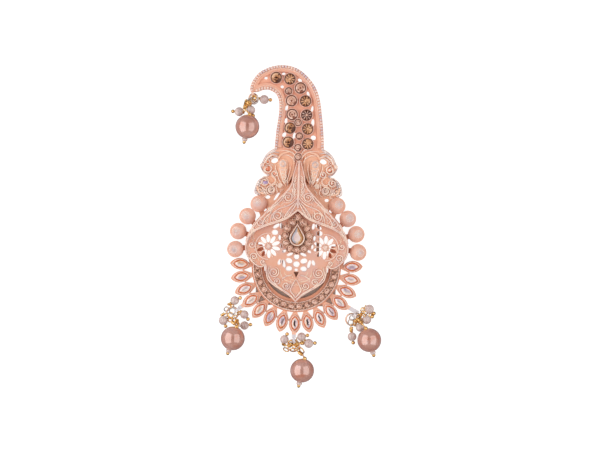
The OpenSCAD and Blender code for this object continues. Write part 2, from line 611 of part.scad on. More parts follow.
// Wire through the points p, with a small knuckle at each bend and a ball at its end
module wire(p, r, ball) {
    for (i = [0:len(p) - 2]) {
        d = p[i + 1] - p[i];
        translate(p[i]) rotate([0, acos(d[2] / norm(d)), atan2(d[1], d[0])]) {
            cylinder(r = r, h = norm(d));
            if (i > 0) sphere(r * knuckle);
            if (i == len(p) - 2) translate([0, 0, norm(d)]) sphere(ball);
        }
    }
}
// An upright loop closed round the jump ring, turned to the direction a
module wire_loop(x, y, a, r, wire_r) {
    translate([x, y, ring_z]) rotate([90, 0, a]) rotate_extrude() translate([r, 0]) circle(wire_r);
}
function at_height(p, z) = [p[0], p[1], z];
function pearl_at(k) = [PEARLS[k][0], PEARLS[k][1]];
function pearl_head(k) = pearl_at(k) - (pearl_r + 0.5) * dir(PEARLS[k][2]);
// Distance between the centres of two balls that meet at the rims of a hole of radius h
function meeting(a, b, h) = sqrt(a * a - h * h) + sqrt(b * b - h * h) + gap;
pearl_hole_r = pearl_wire_r + hole_play;
bead_hole_r = bead_wire_r + hole_play;
spacer_reach = meeting(pearl_r, spacer_r, pearl_hole_r);
tail_reach = spacer_reach + meeting(spacer_r, tail_ball_r, pearl_hole_r);
function spacer_at(k) = pearl_at(k) + spacer_reach * dir(PEARLS[k][2]);
function bead_at(b) = [b[1], b[2]];
function bead_head(b) = bead_at(b) - (b[3] + 0.35) * dir(b[4]);
function rows_of(k) = [for (b = BEADS) if (b[0] == k) b];

module jump_ring(k) color(bright_colour) place()
    translate([ring_centre(k)[0], ring_centre(k)[1], ring_z])
        rotate_extrude() translate([RINGS[k][3], 0]) circle(ring_wire_r);
// A ball drilled along the direction a
module drilled_ball(r, hole_r, a) {
    rotate([0, 90, a]) difference() {
        sphere(r);
        cylinder(r = hole_r, h = 3 * r, center = true);
    }
}
module pearl(k) color(pearl_colour) place() translate(at_height(pearl_at(k), pearl_r))
    drilled_ball(pearl_r, pearl_hole_r, PEARLS[k][2]);
module pearl_pin(k) color(gold_colour) place() {
    q = PEARLS[k];
    start = on_ring(k, q[3]);
    knee = [q[4], q[5], q[6]];
    tail = pearl_at(k) + tail_reach * dir(q[2]);
    wire_loop(start[0], start[1], q[3], pearl_loop_r, pearl_wire_r * loop_wire);
    wire([at_height(start + pearl_loop_r * dir(q[3]), ring_z), knee, at_height(pearl_head(k), pearl_r),
        at_height(tail, pearl_r)], pearl_wire_r, tail_ball_r);
}
module small_beads(k) color(bead_colour) place() {
    for (b = rows_of(k)) translate(at_height(bead_at(b), b[3]))
        drilled_ball(b[3], bead_hole_r, b[4]);
    translate(at_height(spacer_at(k), pearl_r)) drilled_ball(spacer_r, pearl_hole_r, PEARLS[k][2]);
}
module bead_pins(k) color(gold_colour) place() {
    for (b = rows_of(k)) {
        start = on_ring(k, b[5]);
        head = bead_head(b);
        end = bead_at(b) + meeting(b[3], bead_ball_r, bead_hole_r) * dir(b[4]);
        wire_loop(start[0], start[1], b[5], loop_r, bead_wire_r * loop_wire);
        wire([at_height(start + loop_r * dir(b[5]), ring_z), at_height(head, b[3]), at_height(end, b[3])],
            bead_wire_r, bead_ball_r);
    }
}

frame();
trefoil_lattice();
upper_leaf();
centre_setting();
back_pin();
teardrop_stone();
plume_stones();
crescent_stones();
centre_stones();
for (i = [0:len(DOMES) - 1]) {
    dome(i, -1);
    dome(i, 1);
}
for (i = [0:fringe_n - 1]) marquise_stone(i);
for (k = [0:3]) {
    jump_ring(k);
    pearl(k);
    pearl_pin(k);
    small_beads(k);
    bead_pins(k);
}
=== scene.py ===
"""Looks of a kalgi turban ornament: a cast and enamelled plate, set stones and pearls, lying on a pale table."""
import logging
import math
from collections.abc import Callable, Sequence
from dataclasses import dataclass
from enum import Enum

import bmesh
import bpy
from mathutils import Matrix, Vector


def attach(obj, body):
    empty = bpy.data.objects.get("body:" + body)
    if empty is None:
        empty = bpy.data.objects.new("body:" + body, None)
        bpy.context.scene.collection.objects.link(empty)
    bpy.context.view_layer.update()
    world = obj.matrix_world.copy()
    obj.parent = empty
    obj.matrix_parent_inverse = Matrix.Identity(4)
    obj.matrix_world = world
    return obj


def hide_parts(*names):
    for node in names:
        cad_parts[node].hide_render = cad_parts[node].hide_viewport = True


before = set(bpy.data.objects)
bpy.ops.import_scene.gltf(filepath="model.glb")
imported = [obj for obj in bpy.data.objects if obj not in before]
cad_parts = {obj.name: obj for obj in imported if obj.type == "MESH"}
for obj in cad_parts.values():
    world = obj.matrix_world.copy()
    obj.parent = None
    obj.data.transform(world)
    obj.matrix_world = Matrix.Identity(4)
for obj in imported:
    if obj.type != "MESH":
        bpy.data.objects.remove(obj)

Point = tuple[float, float, float]
Flat = tuple[float, float]
Line = Sequence[Flat]
Lines = Sequence[Line]
Rows = Sequence[tuple[float, ...]]
Piece = bpy.types.Object
Socket = bpy.types.NodeSocket

LOG = logging.getLogger("kalgi")
MM = 0.001
SIDES = (1, -1)  # right and left
# the crescent's centre in the part's frame, from which every table below is measured, in mm
CRESCENT = Vector((-2.2, -17.39, 0.0))
# heights of the casting's plate, its rims and its settings, and of the lattice's and the centre's faces, in mm
PLATE_Z, RIM_Z, RELIEF_Z, TREFOIL_Z, CENTRE_Z = 1.6, 2.2, 2.7, 4.4, 4.45
LEAF_TOP = (0.0, 12.0, 7.3)  # the highest place of the pressed leaf, in mm
LEAF_CURVE = 180.0  # the radius of its curve, in mm
DROP_Y = 12.4  # the middle of the teardrop stone, from which the studs' eyes look away, in mm
SMALL_R = 1.23  # the radius of the small chatons, in mm
BEZEL_OUT, BEZEL_WIRE = 0.19, 0.13  # how far a bezel lies outside its stone, and its wire's radius, in mm
END_SHARE = 0.3  # the share of a wire over which each of its ends tapers


def at(x: float, y: float, z: float = 0.0) -> Vector:
    """Turn millimetres from the crescent's centre to metres in the part's frame."""
    return (Vector((x, y, z)) + CRESCENT) * MM


def spot(x: float, y: float, z: float, scale: float = 1.0) -> Matrix:
    """Give the matrix that scales a shape and moves it to a place in mm."""
    return Matrix.Translation(at(x, y, z)) @ Matrix.Scale(scale, 4)


def heading(degrees: float) -> Vector:
    """Give the flat unit vector that points along an angle."""
    return Vector((math.cos(math.radians(degrees)), math.sin(math.radians(degrees)), 0.0))


def smooth(points: Line, steps: int = 4) -> list[Flat]:
    """Draw a smooth line through flat points.

    Args:
        points: the points that the line passes through.
        steps: how many pieces each stretch gets.

    Returns:
        The points of the smooth line.
    """
    held = [points[0], *points, points[-1]]
    line = []
    for corners in zip(held, held[1:], held[2:], held[3:]):
        for t in [k / steps for k in range(steps)]:
            line.append(tuple(
                0.5 * (2 * b + (c - a) * t + (2 * a - 5 * b + 4 * c - d) * t * t + (3 * b - a - 3 * c + d) * t ** 3)
                for a, b, c, d in zip(*corners)))
    return [*line, points[-1]]


def scroll(x: float, y: float, radius: float, start: float, turns: float) -> list[Flat]:
    """Wind a line inwards about a place from a radius to a third of it, from an angle in degrees, by some turns."""
    steps = [i / math.ceil(turns * 18) for i in range(math.ceil(turns * 18) + 1)]
    return [tuple((Vector((x, y, 0)) + heading(start + 360 * turns * s) * radius * (1 - 0.68 * s))[:2]) for s in steps]


def mirrored(lines: Lines) -> list[Line]:
    """Give the lines and their copies on the other side of the middle line."""
    return [*lines, *([(-x, y) for x, y in line] for line in lines)]


def walk(line: Line, pitch: float) -> list[Point]:
    """Step along a line at an even pitch.

    Args:
        line: flat points in mm.
        pitch: the distance from one step to the next, in mm.

    Returns:
        The x, y and heading in radians of each step.
    """
    spots, carry = [], pitch / 2
    for (ax, ay), (bx, by) in zip(line, line[1:]):
        length = math.hypot(bx - ax, by - ay)
        while carry < length:
            share = carry / length
            spots.append((ax + (bx - ax) * share, ay + (by - ay) * share, math.atan2(by - ay, bx - ax)))
            carry += pitch
        carry -= length
    return spots


def inset(line: Line, distance: float) -> list[Flat]:
    """Move a line to its left.

    Args:
        line: flat points in mm.
        distance: how far, in mm.

    Returns:
        The moved line.
    """
    moved = []
    for (x, y), (ax, ay), (bx, by) in zip(line, [line[0], *line], [*line[1:], line[-1]]):
        length = math.hypot(bx - ax, by - ay) or 1.0
        moved.append((x - (by - ay) / length * distance, y + (bx - ax) / length * distance))
    return moved


def moved_ring(ring: Line, turn: float, x: float, y: float) -> list[Flat]:
    """Turn a ring by degrees about its middle and move it to a place."""
    c, s = math.cos(math.radians(turn)), math.sin(math.radians(turn))
    return [(x + c * u - s * v, y + s * u + c * v) for u, v in ring]


def oval(x: float, y: float, length: float, width: float, turn: float, count: int = 16) -> list[Flat]:
    """Draw a closed ellipse about a place, turned by an angle in degrees."""
    turns = [math.tau * i / count for i in range(count)]
    return moved_ring([(length / 2 * math.cos(a), width / 2 * math.sin(a)) for a in turns], turn, x, y)


def circle(x: float, y: float, radius: float, count: int) -> list[Flat]:
    """Draw a closed circle about a place."""
    return oval(x, y, 2 * radius, 2 * radius, 0, count)


def arc(x: float, y: float, radius: float, count: int, start: float, sweep: float) -> list[Flat]:
    """Give evenly spread places on a circle about a place, from an angle over a sweep in degrees."""
    turns = [math.radians(start + sweep * i / (count - 1)) for i in range(count)]
    return [(x + radius * math.cos(a), y + radius * math.sin(a)) for a in turns]


def vesica(x: float, y: float, length: float, width: float, turn: float) -> list[Flat]:
    """Draw a closed pointed oval about a place.

    Args:
        x: the middle's x in mm.
        y: the middle's y in mm.
        length: from point to point, in mm.
        width: in mm.
        turn: the angle of its length, in degrees.

    Returns:
        The outline's points.
    """
    count = 12
    bow = (length * length + width * width) / (4 * width)
    half = math.asin(length / (2 * bow))
    turns = [half - 2 * half * i / count for i in range(count)]
    side = [(bow * math.sin(a), bow * math.cos(a) - bow + width / 2) for a in turns]
    return moved_ring(side + [(-u, -v) for u, v in side], turn, x, y)


def leaf_z(x: float, y: float) -> float:
    """Give the height of the pressed leaf's upper face at a flat place, in mm."""
    return LEAF_TOP[2] - LEAF_CURVE + math.sqrt(LEAF_CURVE ** 2 - (x - LEAF_TOP[0]) ** 2 - (y - LEAF_TOP[1]) ** 2)


def on_leaf(line: Line, lift: float) -> list[Vector]:
    """Lay a flat line on the pressed leaf, lifted by a height in mm."""
    return [at(x, y, leaf_z(x, y) + lift) for x, y in line]


def level(line: Line, z: float) -> list[Vector]:
    """Lay a flat line at one height in mm."""
    return [at(x, y, z) for x, y in line]


def alone(piece: Piece | None = None) -> None:
    """Leave edit mode and select one piece or nothing.

    Args:
        piece: what the next operator acts on, or nothing if it makes a new shape.
    """
    if bpy.context.object and bpy.context.object.mode != "OBJECT":
        bpy.ops.object.mode_set(mode="OBJECT")
    bpy.ops.object.select_all(action="DESELECT")
    if piece:
        piece.select_set(True)
        bpy.context.view_layer.objects.active = piece


def join(pieces: list[Piece]) -> Piece:
    """Join pieces into the first of them.

    Args:
        pieces: the pieces, of which the others are gone afterwards.

    Returns:
        The first piece.
    """
    alone(pieces[0])
    for piece in pieces:
        piece.select_set(True)
    bpy.ops.object.join()
    return pieces[0]


def strew(master: Piece, places: list[Matrix], mark: Callable[[Piece, int], None] | None = None) -> Piece:
    """Copy a finished shape to each place, each copy with its own mesh, and join the copies.

    Args:
        master: the shape, which is removed at the end.
        places: one matrix for each copy.
        mark: takes each copy and its number before it is moved.

    Returns:
        The joined object.
    """
    twins = []
    for number, place in enumerate(places):
        twin = bpy.data.objects.new(master.name, master.data.copy())
        if mark:
            mark(twin, number)
        twin.data.transform(place)
        bpy.context.scene.collection.objects.link(twin)
        twins.append(twin)
    whole = join(twins)
    bpy.data.objects.remove(master)
    return whole


def wires(paths: list[list[Vector]], radius: float, closed: bool = False, taper: float = 1.0,
          round_steps: int = 2) -> Piece:
    """Lay round wires along paths and make them one mesh.

    Args:
        paths: the points of each wire, in metres.
        radius: the wire's radius in mm.
        closed: whether each wire runs back to its start.
        taper: the share of the radius that is left at a wire's ends.
        round_steps: how finely the wire's section is rounded.

    Returns:
        The mesh object.
    """
    curve = bpy.data.curves.new("wire", "CURVE")
    curve.dimensions = "3D"
    curve.bevel_depth = radius * MM
    curve.bevel_resolution = round_steps
    curve.use_fill_caps = True
    for path in paths:
        spline = curve.splines.new("POLY")
        spline.points.add(len(path) - 1)
        spline.use_cyclic_u = closed
        for i, (point, place) in enumerate(zip(spline.points, path)):
            near_end = min(i, len(path) - 1 - i) / max(len(path) * END_SHARE, 1)
            point.co = (*place, 1.0)
            point.radius = 1.0 if closed else min(1.0, taper + (1 - taper) * near_end)
    piece = bpy.data.objects.new("wire", curve)
    bpy.context.scene.collection.objects.link(piece)
    alone(piece)
    bpy.ops.object.convert(target="MESH")
    return bpy.context.object


def bezels(places: Rows, z: float) -> Piece:
    """Lay a wire along the edge of each cup round its stone, from the stones' x, y and radius and a height in mm."""
    return wires([level(circle(x, y, r + BEZEL_OUT, 28), z) for x, y, r in places], BEZEL_WIRE, closed=True)


def ball(radius: float, squash: Point = (1.0, 1.0, 0.7), fine: int = 1) -> Piece:
    """Model a small grain or knob.

    Args:
        radius: in mm.
        squash: the share of the radius along each axis.
        fine: 1 for a grain of a few dozen faces, 2 for a rounder knob.

    Returns:
        The mesh object.
    """
    alone()
    bpy.ops.mesh.primitive_uv_sphere_add(segments=8 * fine, ring_count=5 * fine, radius=radius * MM)
    bpy.ops.object.mode_set(mode="EDIT")
    bpy.ops.mesh.select_all(action="SELECT")
    bpy.ops.transform.resize(value=squash)
    bpy.ops.mesh.faces_shade_smooth()
    bpy.ops.object.mode_set(mode="OBJECT")
    return bpy.context.object


def linear(code: str) -> tuple[float, float, float, float]:
    """Turn an sRGB hex colour to linear light."""
    parts = [int(code[i:i + 2], 16) / 255 for i in (1, 3, 5)]
    return (*[p / 12.92 if p <= 0.04045 else ((p + 0.055) / 1.055) ** 2.4 for p in parts], 1.0)


class Paint:
    """The node tree of a material or a world."""

    def __init__(self, tree: bpy.types.NodeTree) -> None:
        """Take a tree that has its usual first nodes, and add its coordinates."""
        self.tree = tree
        self.coordinates = tree.nodes.new("ShaderNodeTexCoord").outputs
        self.place = self.coordinates["Object"]

    def feed(self, node: bpy.types.Node, inputs: dict) -> None:
        """Link a socket or write a value to each input of a node.

        Args:
            node: the node.
            inputs: for each input, by name or number, a socket to link from, an sRGB code or a value.
        """
        for key, value in inputs.items():
            if isinstance(value, Socket):
                self.tree.links.new(value, node.inputs[key])
            else:
                node.inputs[key].default_value = linear(value) if isinstance(value, str) else value

    def add(self, kind: str, inputs: dict | Sequence, out: int | str = 0, size: float = 0.0,
            stops: Sequence[tuple[float, str]] = (), **settings: str | int) -> Socket:
        """Add a node with its settings and links.

        Args:
            kind: the node's type, without the leading ShaderNode.
            inputs: sockets, sRGB codes or values, in the inputs' order, or else by their names or numbers.
            out: the output that is given, by name or number.
            size: the size in mm of a pattern's lumps or cells, where it lies in the part's frame.
            stops: a colour ramp's places and sRGB codes.
            settings: the node's own settings.

        Returns:
            The output's socket.
        """
        node = self.tree.nodes.new("ShaderNode" + kind)
        for key, value in settings.items():
            setattr(node, key, value)
        if size:
            self.feed(node, {"Vector": self.place, "Scale": 1 / (size * MM)})
        if stops:
            while len(node.color_ramp.elements) < len(stops):
                node.color_ramp.elements.new(0.5)
            for element, (place, code) in zip(node.color_ramp.elements, stops):
                element.position, element.color = place, linear(code)
        self.feed(node, inputs if isinstance(inputs, dict) else dict(enumerate(inputs)))
        return node.outputs[out]

    def coat(self, **inputs: Socket | float) -> None:
        """Feed the main shader, whose inputs' names have _ for a space."""
        self.feed(self.tree.nodes["Principled BSDF"], {key.replace("_", " "): v for key, v in inputs.items()})

    def layers(self, colour: Socket | str, *layers: tuple[Socket, Socket | str]) -> Socket:
        """Lay tones over a colour, one after the other.

        Args:
            colour: the first colour, a socket or an sRGB code.
            layers: the share and the tone of each layer.

        Returns:
            The colour socket.
        """
        for share, tone in layers:
            colour = self.add("Mix", {0: share, 6: colour, 7: tone}, 2, data_type="RGBA")
        return colour

    def from_crescent(self) -> list[Socket]:
        """Give the flat distance from the crescent's centre, and the x, y and z from it."""
        away = self.add("VectorMath", (self.place, CRESCENT * MM), operation="SUBTRACT")
        flat = self.add("VectorMath", (away, (1.0, 1.0, 0.0)), operation="MULTIPLY")
        return [self.add("VectorMath", (flat,), "Value", operation="LENGTH"),
                *self.add("SeparateXYZ", (away,)).node.outputs]

    def painted_hollow_shade(self, colour: Socket, reach: float, low: float, high: float, depth: float, dark: str) -> Socket:
        """Paint shade into a colour where ambient occlusion finds near walls, in recesses and between parts.

        Args:
            colour: the colour socket.
            reach: how far a hollow's walls may be, in mm.
            low: the openness at which a hollow is darkest.
            high: the openness from which the colour stays as it is.
            depth: the greatest share of the dark colour.
            dark: the colour of the painted shade.

        Returns:
            The colour socket.
        """
        open_share = self.add("AmbientOcclusion", {"Distance": reach * MM}, "AO", samples=6)
        return self.layers(colour, (self.add("MapRange", (open_share, low, high, depth, 0.0)), dark))

    def pits(self, strength: float, depth: float, size: float, detail: float = 3.0) -> Socket:
        """Give the normal of a pitted face, whose pits have a strength, a depth and a size in mm."""
        height = self.add("TexNoise", {"Detail": detail}, size=size)
        return self.add("Bump", {"Strength": strength, "Distance": depth * MM, "Height": height})


@dataclass(frozen=True)
class Finish:
    """A finish, whose material is made once."""

    name: str

    def make(self) -> bpy.types.Material:
        """Build the material, or find it where another piece has it.

        Returns:
            The material.
        """
        material = bpy.data.materials.get(self.name)
        if material is None:
            material = bpy.data.materials.new(self.name)
            material.use_nodes = True
            self.look(Paint(material.node_tree))
        return material

    def look(self, paint: Paint) -> None:
        """Add the finish's own nodes."""
        raise NotImplementedError


@dataclass(frozen=True)
class CastEnamel(Finish):
    """Peach stoving enamel brushed over a zinc casting: satin, paler where it is rubbed on the raised work,
    and deeper orange where it pools in the low places, with painted shade in the recesses
    and painted lavender reflections on high work."""

    pool: str  # colour of the low ground
    body: str  # colour of the flat bands
    worn: str  # colour of the highest lines
    low: float  # height of the ground, in mm
    high: float  # height of the raised lines, in mm
    pressed: bool = False  # whether heights count from the pressed leaf's curve
    plate: bool = False  # whether it is the frame, with a copper band, a bare back plate and plated arms
    lace: float = 0.0  # how strongly fine chased lines show, which are drawn a little coarser than real

    def look(self, paint: Paint) -> None:
        """Colour the enamel by height and wear, with painted lavender reflections and painted shade in the recesses.

        Args:
            paint: the new material's nodes.
        """
        height = paint.add("SeparateXYZ", (paint.place,), "Z")
        if self.pressed:
            middle = at(LEAF_TOP[0], LEAF_TOP[1], LEAF_TOP[2] - LEAF_CURVE)
            away = paint.add("VectorMath", (paint.place, middle), "Value", operation="DISTANCE")
            height = paint.add("Math", (away, LEAF_CURVE * MM), operation="SUBTRACT")
        rise = paint.add("MapRange", (height, self.low * MM, self.high * MM))
        colour = paint.add("ValToRGB", (rise,), stops=((0.05, self.pool), (0.45, self.body), (0.72, self.body),
                                                       (0.97, self.worn)))
        # the brushed coat is uneven over 2 to 3 mm
        cloud = paint.add("MapRange", (paint.add("TexNoise", {"Detail": 3.0}, size=2.6), 0.35, 0.7))
        # painted reflection: faint lavender patches on high work stand for a bluish sheen
        patch = paint.add("MapRange", (paint.add("TexNoise", {"Detail": 1.0}, size=6.0), 0.5, 0.66))
        thin = paint.add("Math", (patch, rise), operation="MULTIPLY")
        brushed, lavender_sheen = [paint.add("Math", (share, 0.34), operation="MULTIPLY") for share in (cloud, thin)]
        colour = paint.layers(colour, (brushed, "#e59c74"), (lavender_sheen, "#d6c4cc"))
        if self.lace:
            cell = paint.add("TexVoronoi", {}, "Distance", size=0.85, feature="DISTANCE_TO_EDGE",
                             voronoi_dimensions="3D")
            colour = paint.layers(colour, (paint.add("MapRange", (cell, 0.03, 0.16, self.lace, 0.0)), self.worn))
        if self.plate:
            colour = self.plate_parts(paint, colour)
        # painted shade: orange-brown in the recesses that ambient occlusion finds
        paint.coat(Base_Color=paint.painted_hollow_shade(colour, 0.9, 0.3, 0.85, 0.36, "#c07450"),
                   Normal=paint.pits(0.25, 0.04, 0.35, 2.0),
                   Roughness=paint.add("MapRange", (cloud, 0.0, 1.0, 0.34, 0.5)),
                   Coat_Weight=0.3, Coat_Roughness=0.18)

    def plate_parts(self, paint: Paint, colour: Socket) -> Socket:
        """Lay copper brown lacquer between the crescent's rims, paint light onto the shoulders' ground, and leave the
        back plate and the arms bare.

        Args:
            paint: the new material's nodes.
            colour: the enamel's colour.

        Returns:
            The colour socket.
        """
        reach, _, y, z = paint.from_crescent()
        # the length in mm over which each share changes, and the share before and after it
        spans = ((y, 1.4, 1.7, 1.0, 0.0), (reach, 14.85, 15.05, 0.0, 1.0), (reach, 17.6, 17.8, 1.0, 0.0),
                 (y, 47.0, 52.0, 0.88, 0.0), (y, 20.0, 24.0, 0.0, 1.0), (y, 47.0, 51.0, 0.0, 0.6),
                 (z, 1.9, 2.1, 1.0, 0.3), (reach, 18.6, 19.4, 0.0, 0.5), (reach, 28.0, 28.3, 0.0, 1.0),
                 (z, 0.7, 0.8, 1.0, 0.0))
        below, past_inner, in_outer, shoulder_light_top, shoulder_light_foot, on_plume, low, fringe, arms, back = [
            paint.add("MapRange", (length, start * MM, end * MM, *shares)) for length, start, end, *shares in spans]
        between = paint.add("Math", (past_inner, in_outer), operation="MULTIPLY")
        pairs = ((between, below), (shoulder_light_top, shoulder_light_foot), (on_plume, low), (fringe, below), (arms, below))
        shares = [paint.add("Math", pair, operation="MULTIPLY") for pair in pairs]
        band = paint.add("ValToRGB", (paint.add("TexNoise", {"Detail": 3.0}, size=1.0),),
                         stops=((0.3, "#c98f76"), (0.5, "#e6b8a2"), (0.7, "#f4d2c0")))
        # ffcdae is painted fill light on the shoulders' ground, against the shade of the leaf above it
        tones = (band, "#ffcdae", "#ffc2a8", "#ffd2ba", "#dfd8dc", "#b3a195")
        return paint.layers(colour, *zip((*shares, back), tones))


@dataclass(frozen=True)
class GlazedLine(Finish):
    """Rubbed enamel on a raised line: a pale, slightly glossy ridge with grey-lavender turns."""

    light: str
    shade: str
    gloss: float = 0.28

    def look(self, paint: Paint) -> None:
        """Drift between the two colours, with painted shade in the recesses.

        Args:
            paint: the new material's nodes.
        """
        drift = paint.add("MapRange", (paint.add("TexNoise", {"Detail": 2.0}, size=3.2), 0.4, 0.64))
        colour = paint.painted_hollow_shade(paint.layers(self.light, (drift, self.shade)), 0.5, 0.25, 0.8, 0.34, "#bd8060")
        paint.coat(Base_Color=colour, Normal=paint.pits(0.2, 0.03, 0.3), Roughness=self.gloss, Coat_Weight=0.4,
                   Coat_Roughness=0.12)


@dataclass(frozen=True)
class SettingLacquer(Finish):
    """Copper-brown lacquer in and round the small settings: rosy on the rims, with painted shade darkening the joints
    and recesses.
    """

    collar_z: float = 90.0  # height above which a collar is pale, in mm, or a height over every piece
    # the colour of the painted shade in joints and recesses
    hollow_shade_tone: str = "#8a5238"

    def look(self, paint: Paint) -> None:
        """Mottle the rims, and paint shade into the joints and recesses.

        Args:
            paint: the new material's nodes.
        """
        tone = paint.add("ValToRGB", (paint.add("TexNoise", {"Detail": 3.0}, size=0.9),),
                         stops=((0.3, "#b47c60"), (0.5, "#d6a389"), (0.7, "#eec2aa")))
        height = paint.add("SeparateXYZ", (paint.place,), "Z")
        high = paint.add("MapRange", (height, self.collar_z * MM, (self.collar_z + 0.1) * MM))
        colour = paint.painted_hollow_shade(paint.layers(tone, (high, "#f0c9b4")), 0.9, 0.3, 0.85, 0.6, self.hollow_shade_tone)
        paint.coat(Base_Color=colour, Roughness=0.3, Coat_Weight=0.4, Coat_Roughness=0.1)


@dataclass(frozen=True)
class MilkGlass(Finish):
    """Milky pressed glass over foil: pale pink-white, with violet-grey and honey streaks along each stone."""

    pitch: float  # degrees from one stone to the next
    reach: float  # radius of the circle of stones, in mm
    length: float
    width: float

    def look(self, paint: Paint) -> None:
        """Draw streaks that follow each stone round the fringe.

        Args:
            paint: the new material's nodes.
        """
        reach, x, y, _ = paint.from_crescent()
        pitch = math.radians(self.pitch)
        down = paint.add("Math", (y, -1.0), operation="MULTIPLY")
        count = paint.add("Math", (paint.add("Math", (x, down), operation="ARCTAN2"), pitch), operation="DIVIDE")
        number = paint.add("Math", (count,), operation="ROUND")
        # the place within each stone, from -1 to 1 along and across it
        across, along = count, reach
        for operation, value in (("SUBTRACT", number), ("MULTIPLY", pitch), ("MULTIPLY", reach),
                                 ("DIVIDE", self.width / 2 * MM)):
            across = paint.add("Math", (across, value), operation=operation)
        for operation, value in (("SUBTRACT", self.reach * MM), ("DIVIDE", self.length / 2 * MM)):
            along = paint.add("Math", (along, value), operation=operation)
        lie = paint.add("CombineXYZ", [paint.add("Math", (value, factor), operation="MULTIPLY")
                                       for value, factor in ((along, 0.55), (across, 0.9), (number, 3.7))])
        streak = paint.add("TexNoise", {"Vector": lie, "Scale": 1.3, "Detail": 1.5})
        colour = paint.add("ValToRGB", (streak,), stops=((0.28, "#b8a2b6"), (0.42, "#e9cdd2"), (0.52, "#fbeee8"),
                                                         (0.6, "#f6dcd0"), (0.74, "#e8b07c")))
        # the crown leaves a dark reflection of the foil's fold along the middle, strongest at the foot of the fringe
        wobble = paint.add("MapRange", (paint.add("TexNoise", {"Detail": 3.0}, size=1.6), 0.3, 0.7, -0.2, 0.2))
        bent = paint.add("Math", (across, wobble), operation="ADD")
        away = paint.add("Math", (number, 1.0), operation="SUBTRACT")
        off, far, from_foot = [paint.add("Math", (value,), operation="ABSOLUTE") for value in (bent, along, away)]
        fold, line, foot = [paint.add("MapRange", row) for row in (
            (off, 0.14, 0.34, 1.0, 0.0), (far, 0.4, 0.66, 1.0, 0.0), (from_foot, 1.2, 3.2, 1.0, 0.36))]
        for share in (line, foot):
            fold = paint.add("Math", (fold, share), operation="MULTIPLY")
        paint.coat(Base_Color=paint.layers(colour, (fold, "#3a2a2a")), Roughness=0.22, Coat_Weight=0.9,
                   Coat_Roughness=0.04, Coat_IOR=1.52)


@dataclass(frozen=True)
class TeardropGlass(Finish):
    """Flat milky glass with a foiled edge: a pale table, and a crown with painted reflections, grey on the left and
    honey on the right.
    """

    def look(self, paint: Paint) -> None:
        """Colour the table, and paint the crown's reflections by the way that its facets face.

        Args:
            paint: the new material's nodes.
        """
        east, _, up = paint.add("SeparateXYZ", (paint.add("NewGeometry", {}, "True Normal"),)).node.outputs
        # painted reflections: each crown facet is grey where it faces left and honey where it faces right
        crown = paint.add("ValToRGB", (paint.add("MapRange", (east, -0.35, 0.35)),),
                          stops=((0.0, "#a39da5"), (0.35, "#cdc2c6"), (0.55, "#f4d9bc"), (0.8, "#f0c28a"),
                                 (1.0, "#c98f52")))
        milk = paint.add("MapRange", (paint.add("TexNoise", {"Detail": 3.0}, size=2.4), 0.4, 0.65))
        table = paint.layers("#f1dcd6", (milk, "#e6c7c3"))
        paint.coat(Base_Color=paint.layers(crown, (paint.add("MapRange", (up, 0.93, 0.985)), table)), Roughness=0.18,
                   Coat_Weight=0.9, Coat_Roughness=0.03, Coat_IOR=1.52)


@dataclass(frozen=True)
class FoiledGlass(Finish):
    """Champagne glass chatons with a foiled point, whose facets carry painted light: bright facets are painted
    reflections of the foil, dark ones painted shade of the cup.
    """

    def look(self, paint: Paint) -> None:
        """Read each facet's painted brightness and tint.

        Args:
            paint: the new material's nodes.
        """
        shade, tint = [paint.add("Attribute", {}, "Fac", attribute_name=word) for word in ("shade", "tint")]
        # the shade attribute is painted light: bright facets are painted reflections, dark facets painted shade
        gold = paint.add("ValToRGB", (shade,), stops=((0.0, "#2a1006"), (0.25, "#7a4222"), (0.5, "#c08050"),
                                                      (0.75, "#e9ae7e"), (1.0, "#ffe0bc")))
        rose = paint.add("ValToRGB", (shade,), stops=((0.0, "#331315"), (0.25, "#85493c"), (0.5, "#c48c78"),
                                                      (0.75, "#e2b09e"), (1.0, "#fcdfd6")))
        cloud = paint.add("MapRange", (paint.add("TexNoise", {"Detail": 3.0}, size=0.6), 0.4, 0.65, 0.0, 0.25))
        paint.coat(Base_Color=paint.layers(gold, (tint, rose), (cloud, "#8a4e30")), Roughness=0.3,
                   Specular_IOR_Level=0.3, Coat_Weight=0.25, Coat_Roughness=0.06)


@dataclass(frozen=True)
class PearlLacquer(Finish):
    """Pearlised plastic beads, dipped in a rosy lacquer: a broad soft gloss under a clear hard coat."""

    def look(self, paint: Paint) -> None:
        """Cloud the lacquer, with a copper blush and fine flecks.

        Args:
            paint: the new material's nodes.
        """
        soft, blush, fleck = [paint.add("TexNoise", {"Detail": detail}, size=size)
                              for size, detail in ((5.0, 2.0), (3.4, 1.5), (0.45, 1.0))]
        colour = paint.add("ValToRGB", (soft,), stops=((0.3, "#c68979"), (0.52, "#d09b8c"), (0.7, "#d9aca4")))
        colour = paint.layers(colour, (paint.add("MapRange", (blush, 0.56, 0.68, 0.0, 0.5)), "#cf7450"),
                              (paint.add("MapRange", (fleck, 0.62, 0.72, 0.0, 0.3)), "#b97762"))
        paint.coat(Base_Color=colour, Roughness=0.2, Metallic=0.18, Coat_Weight=1.0, Coat_Roughness=0.05, Coat_IOR=1.9)


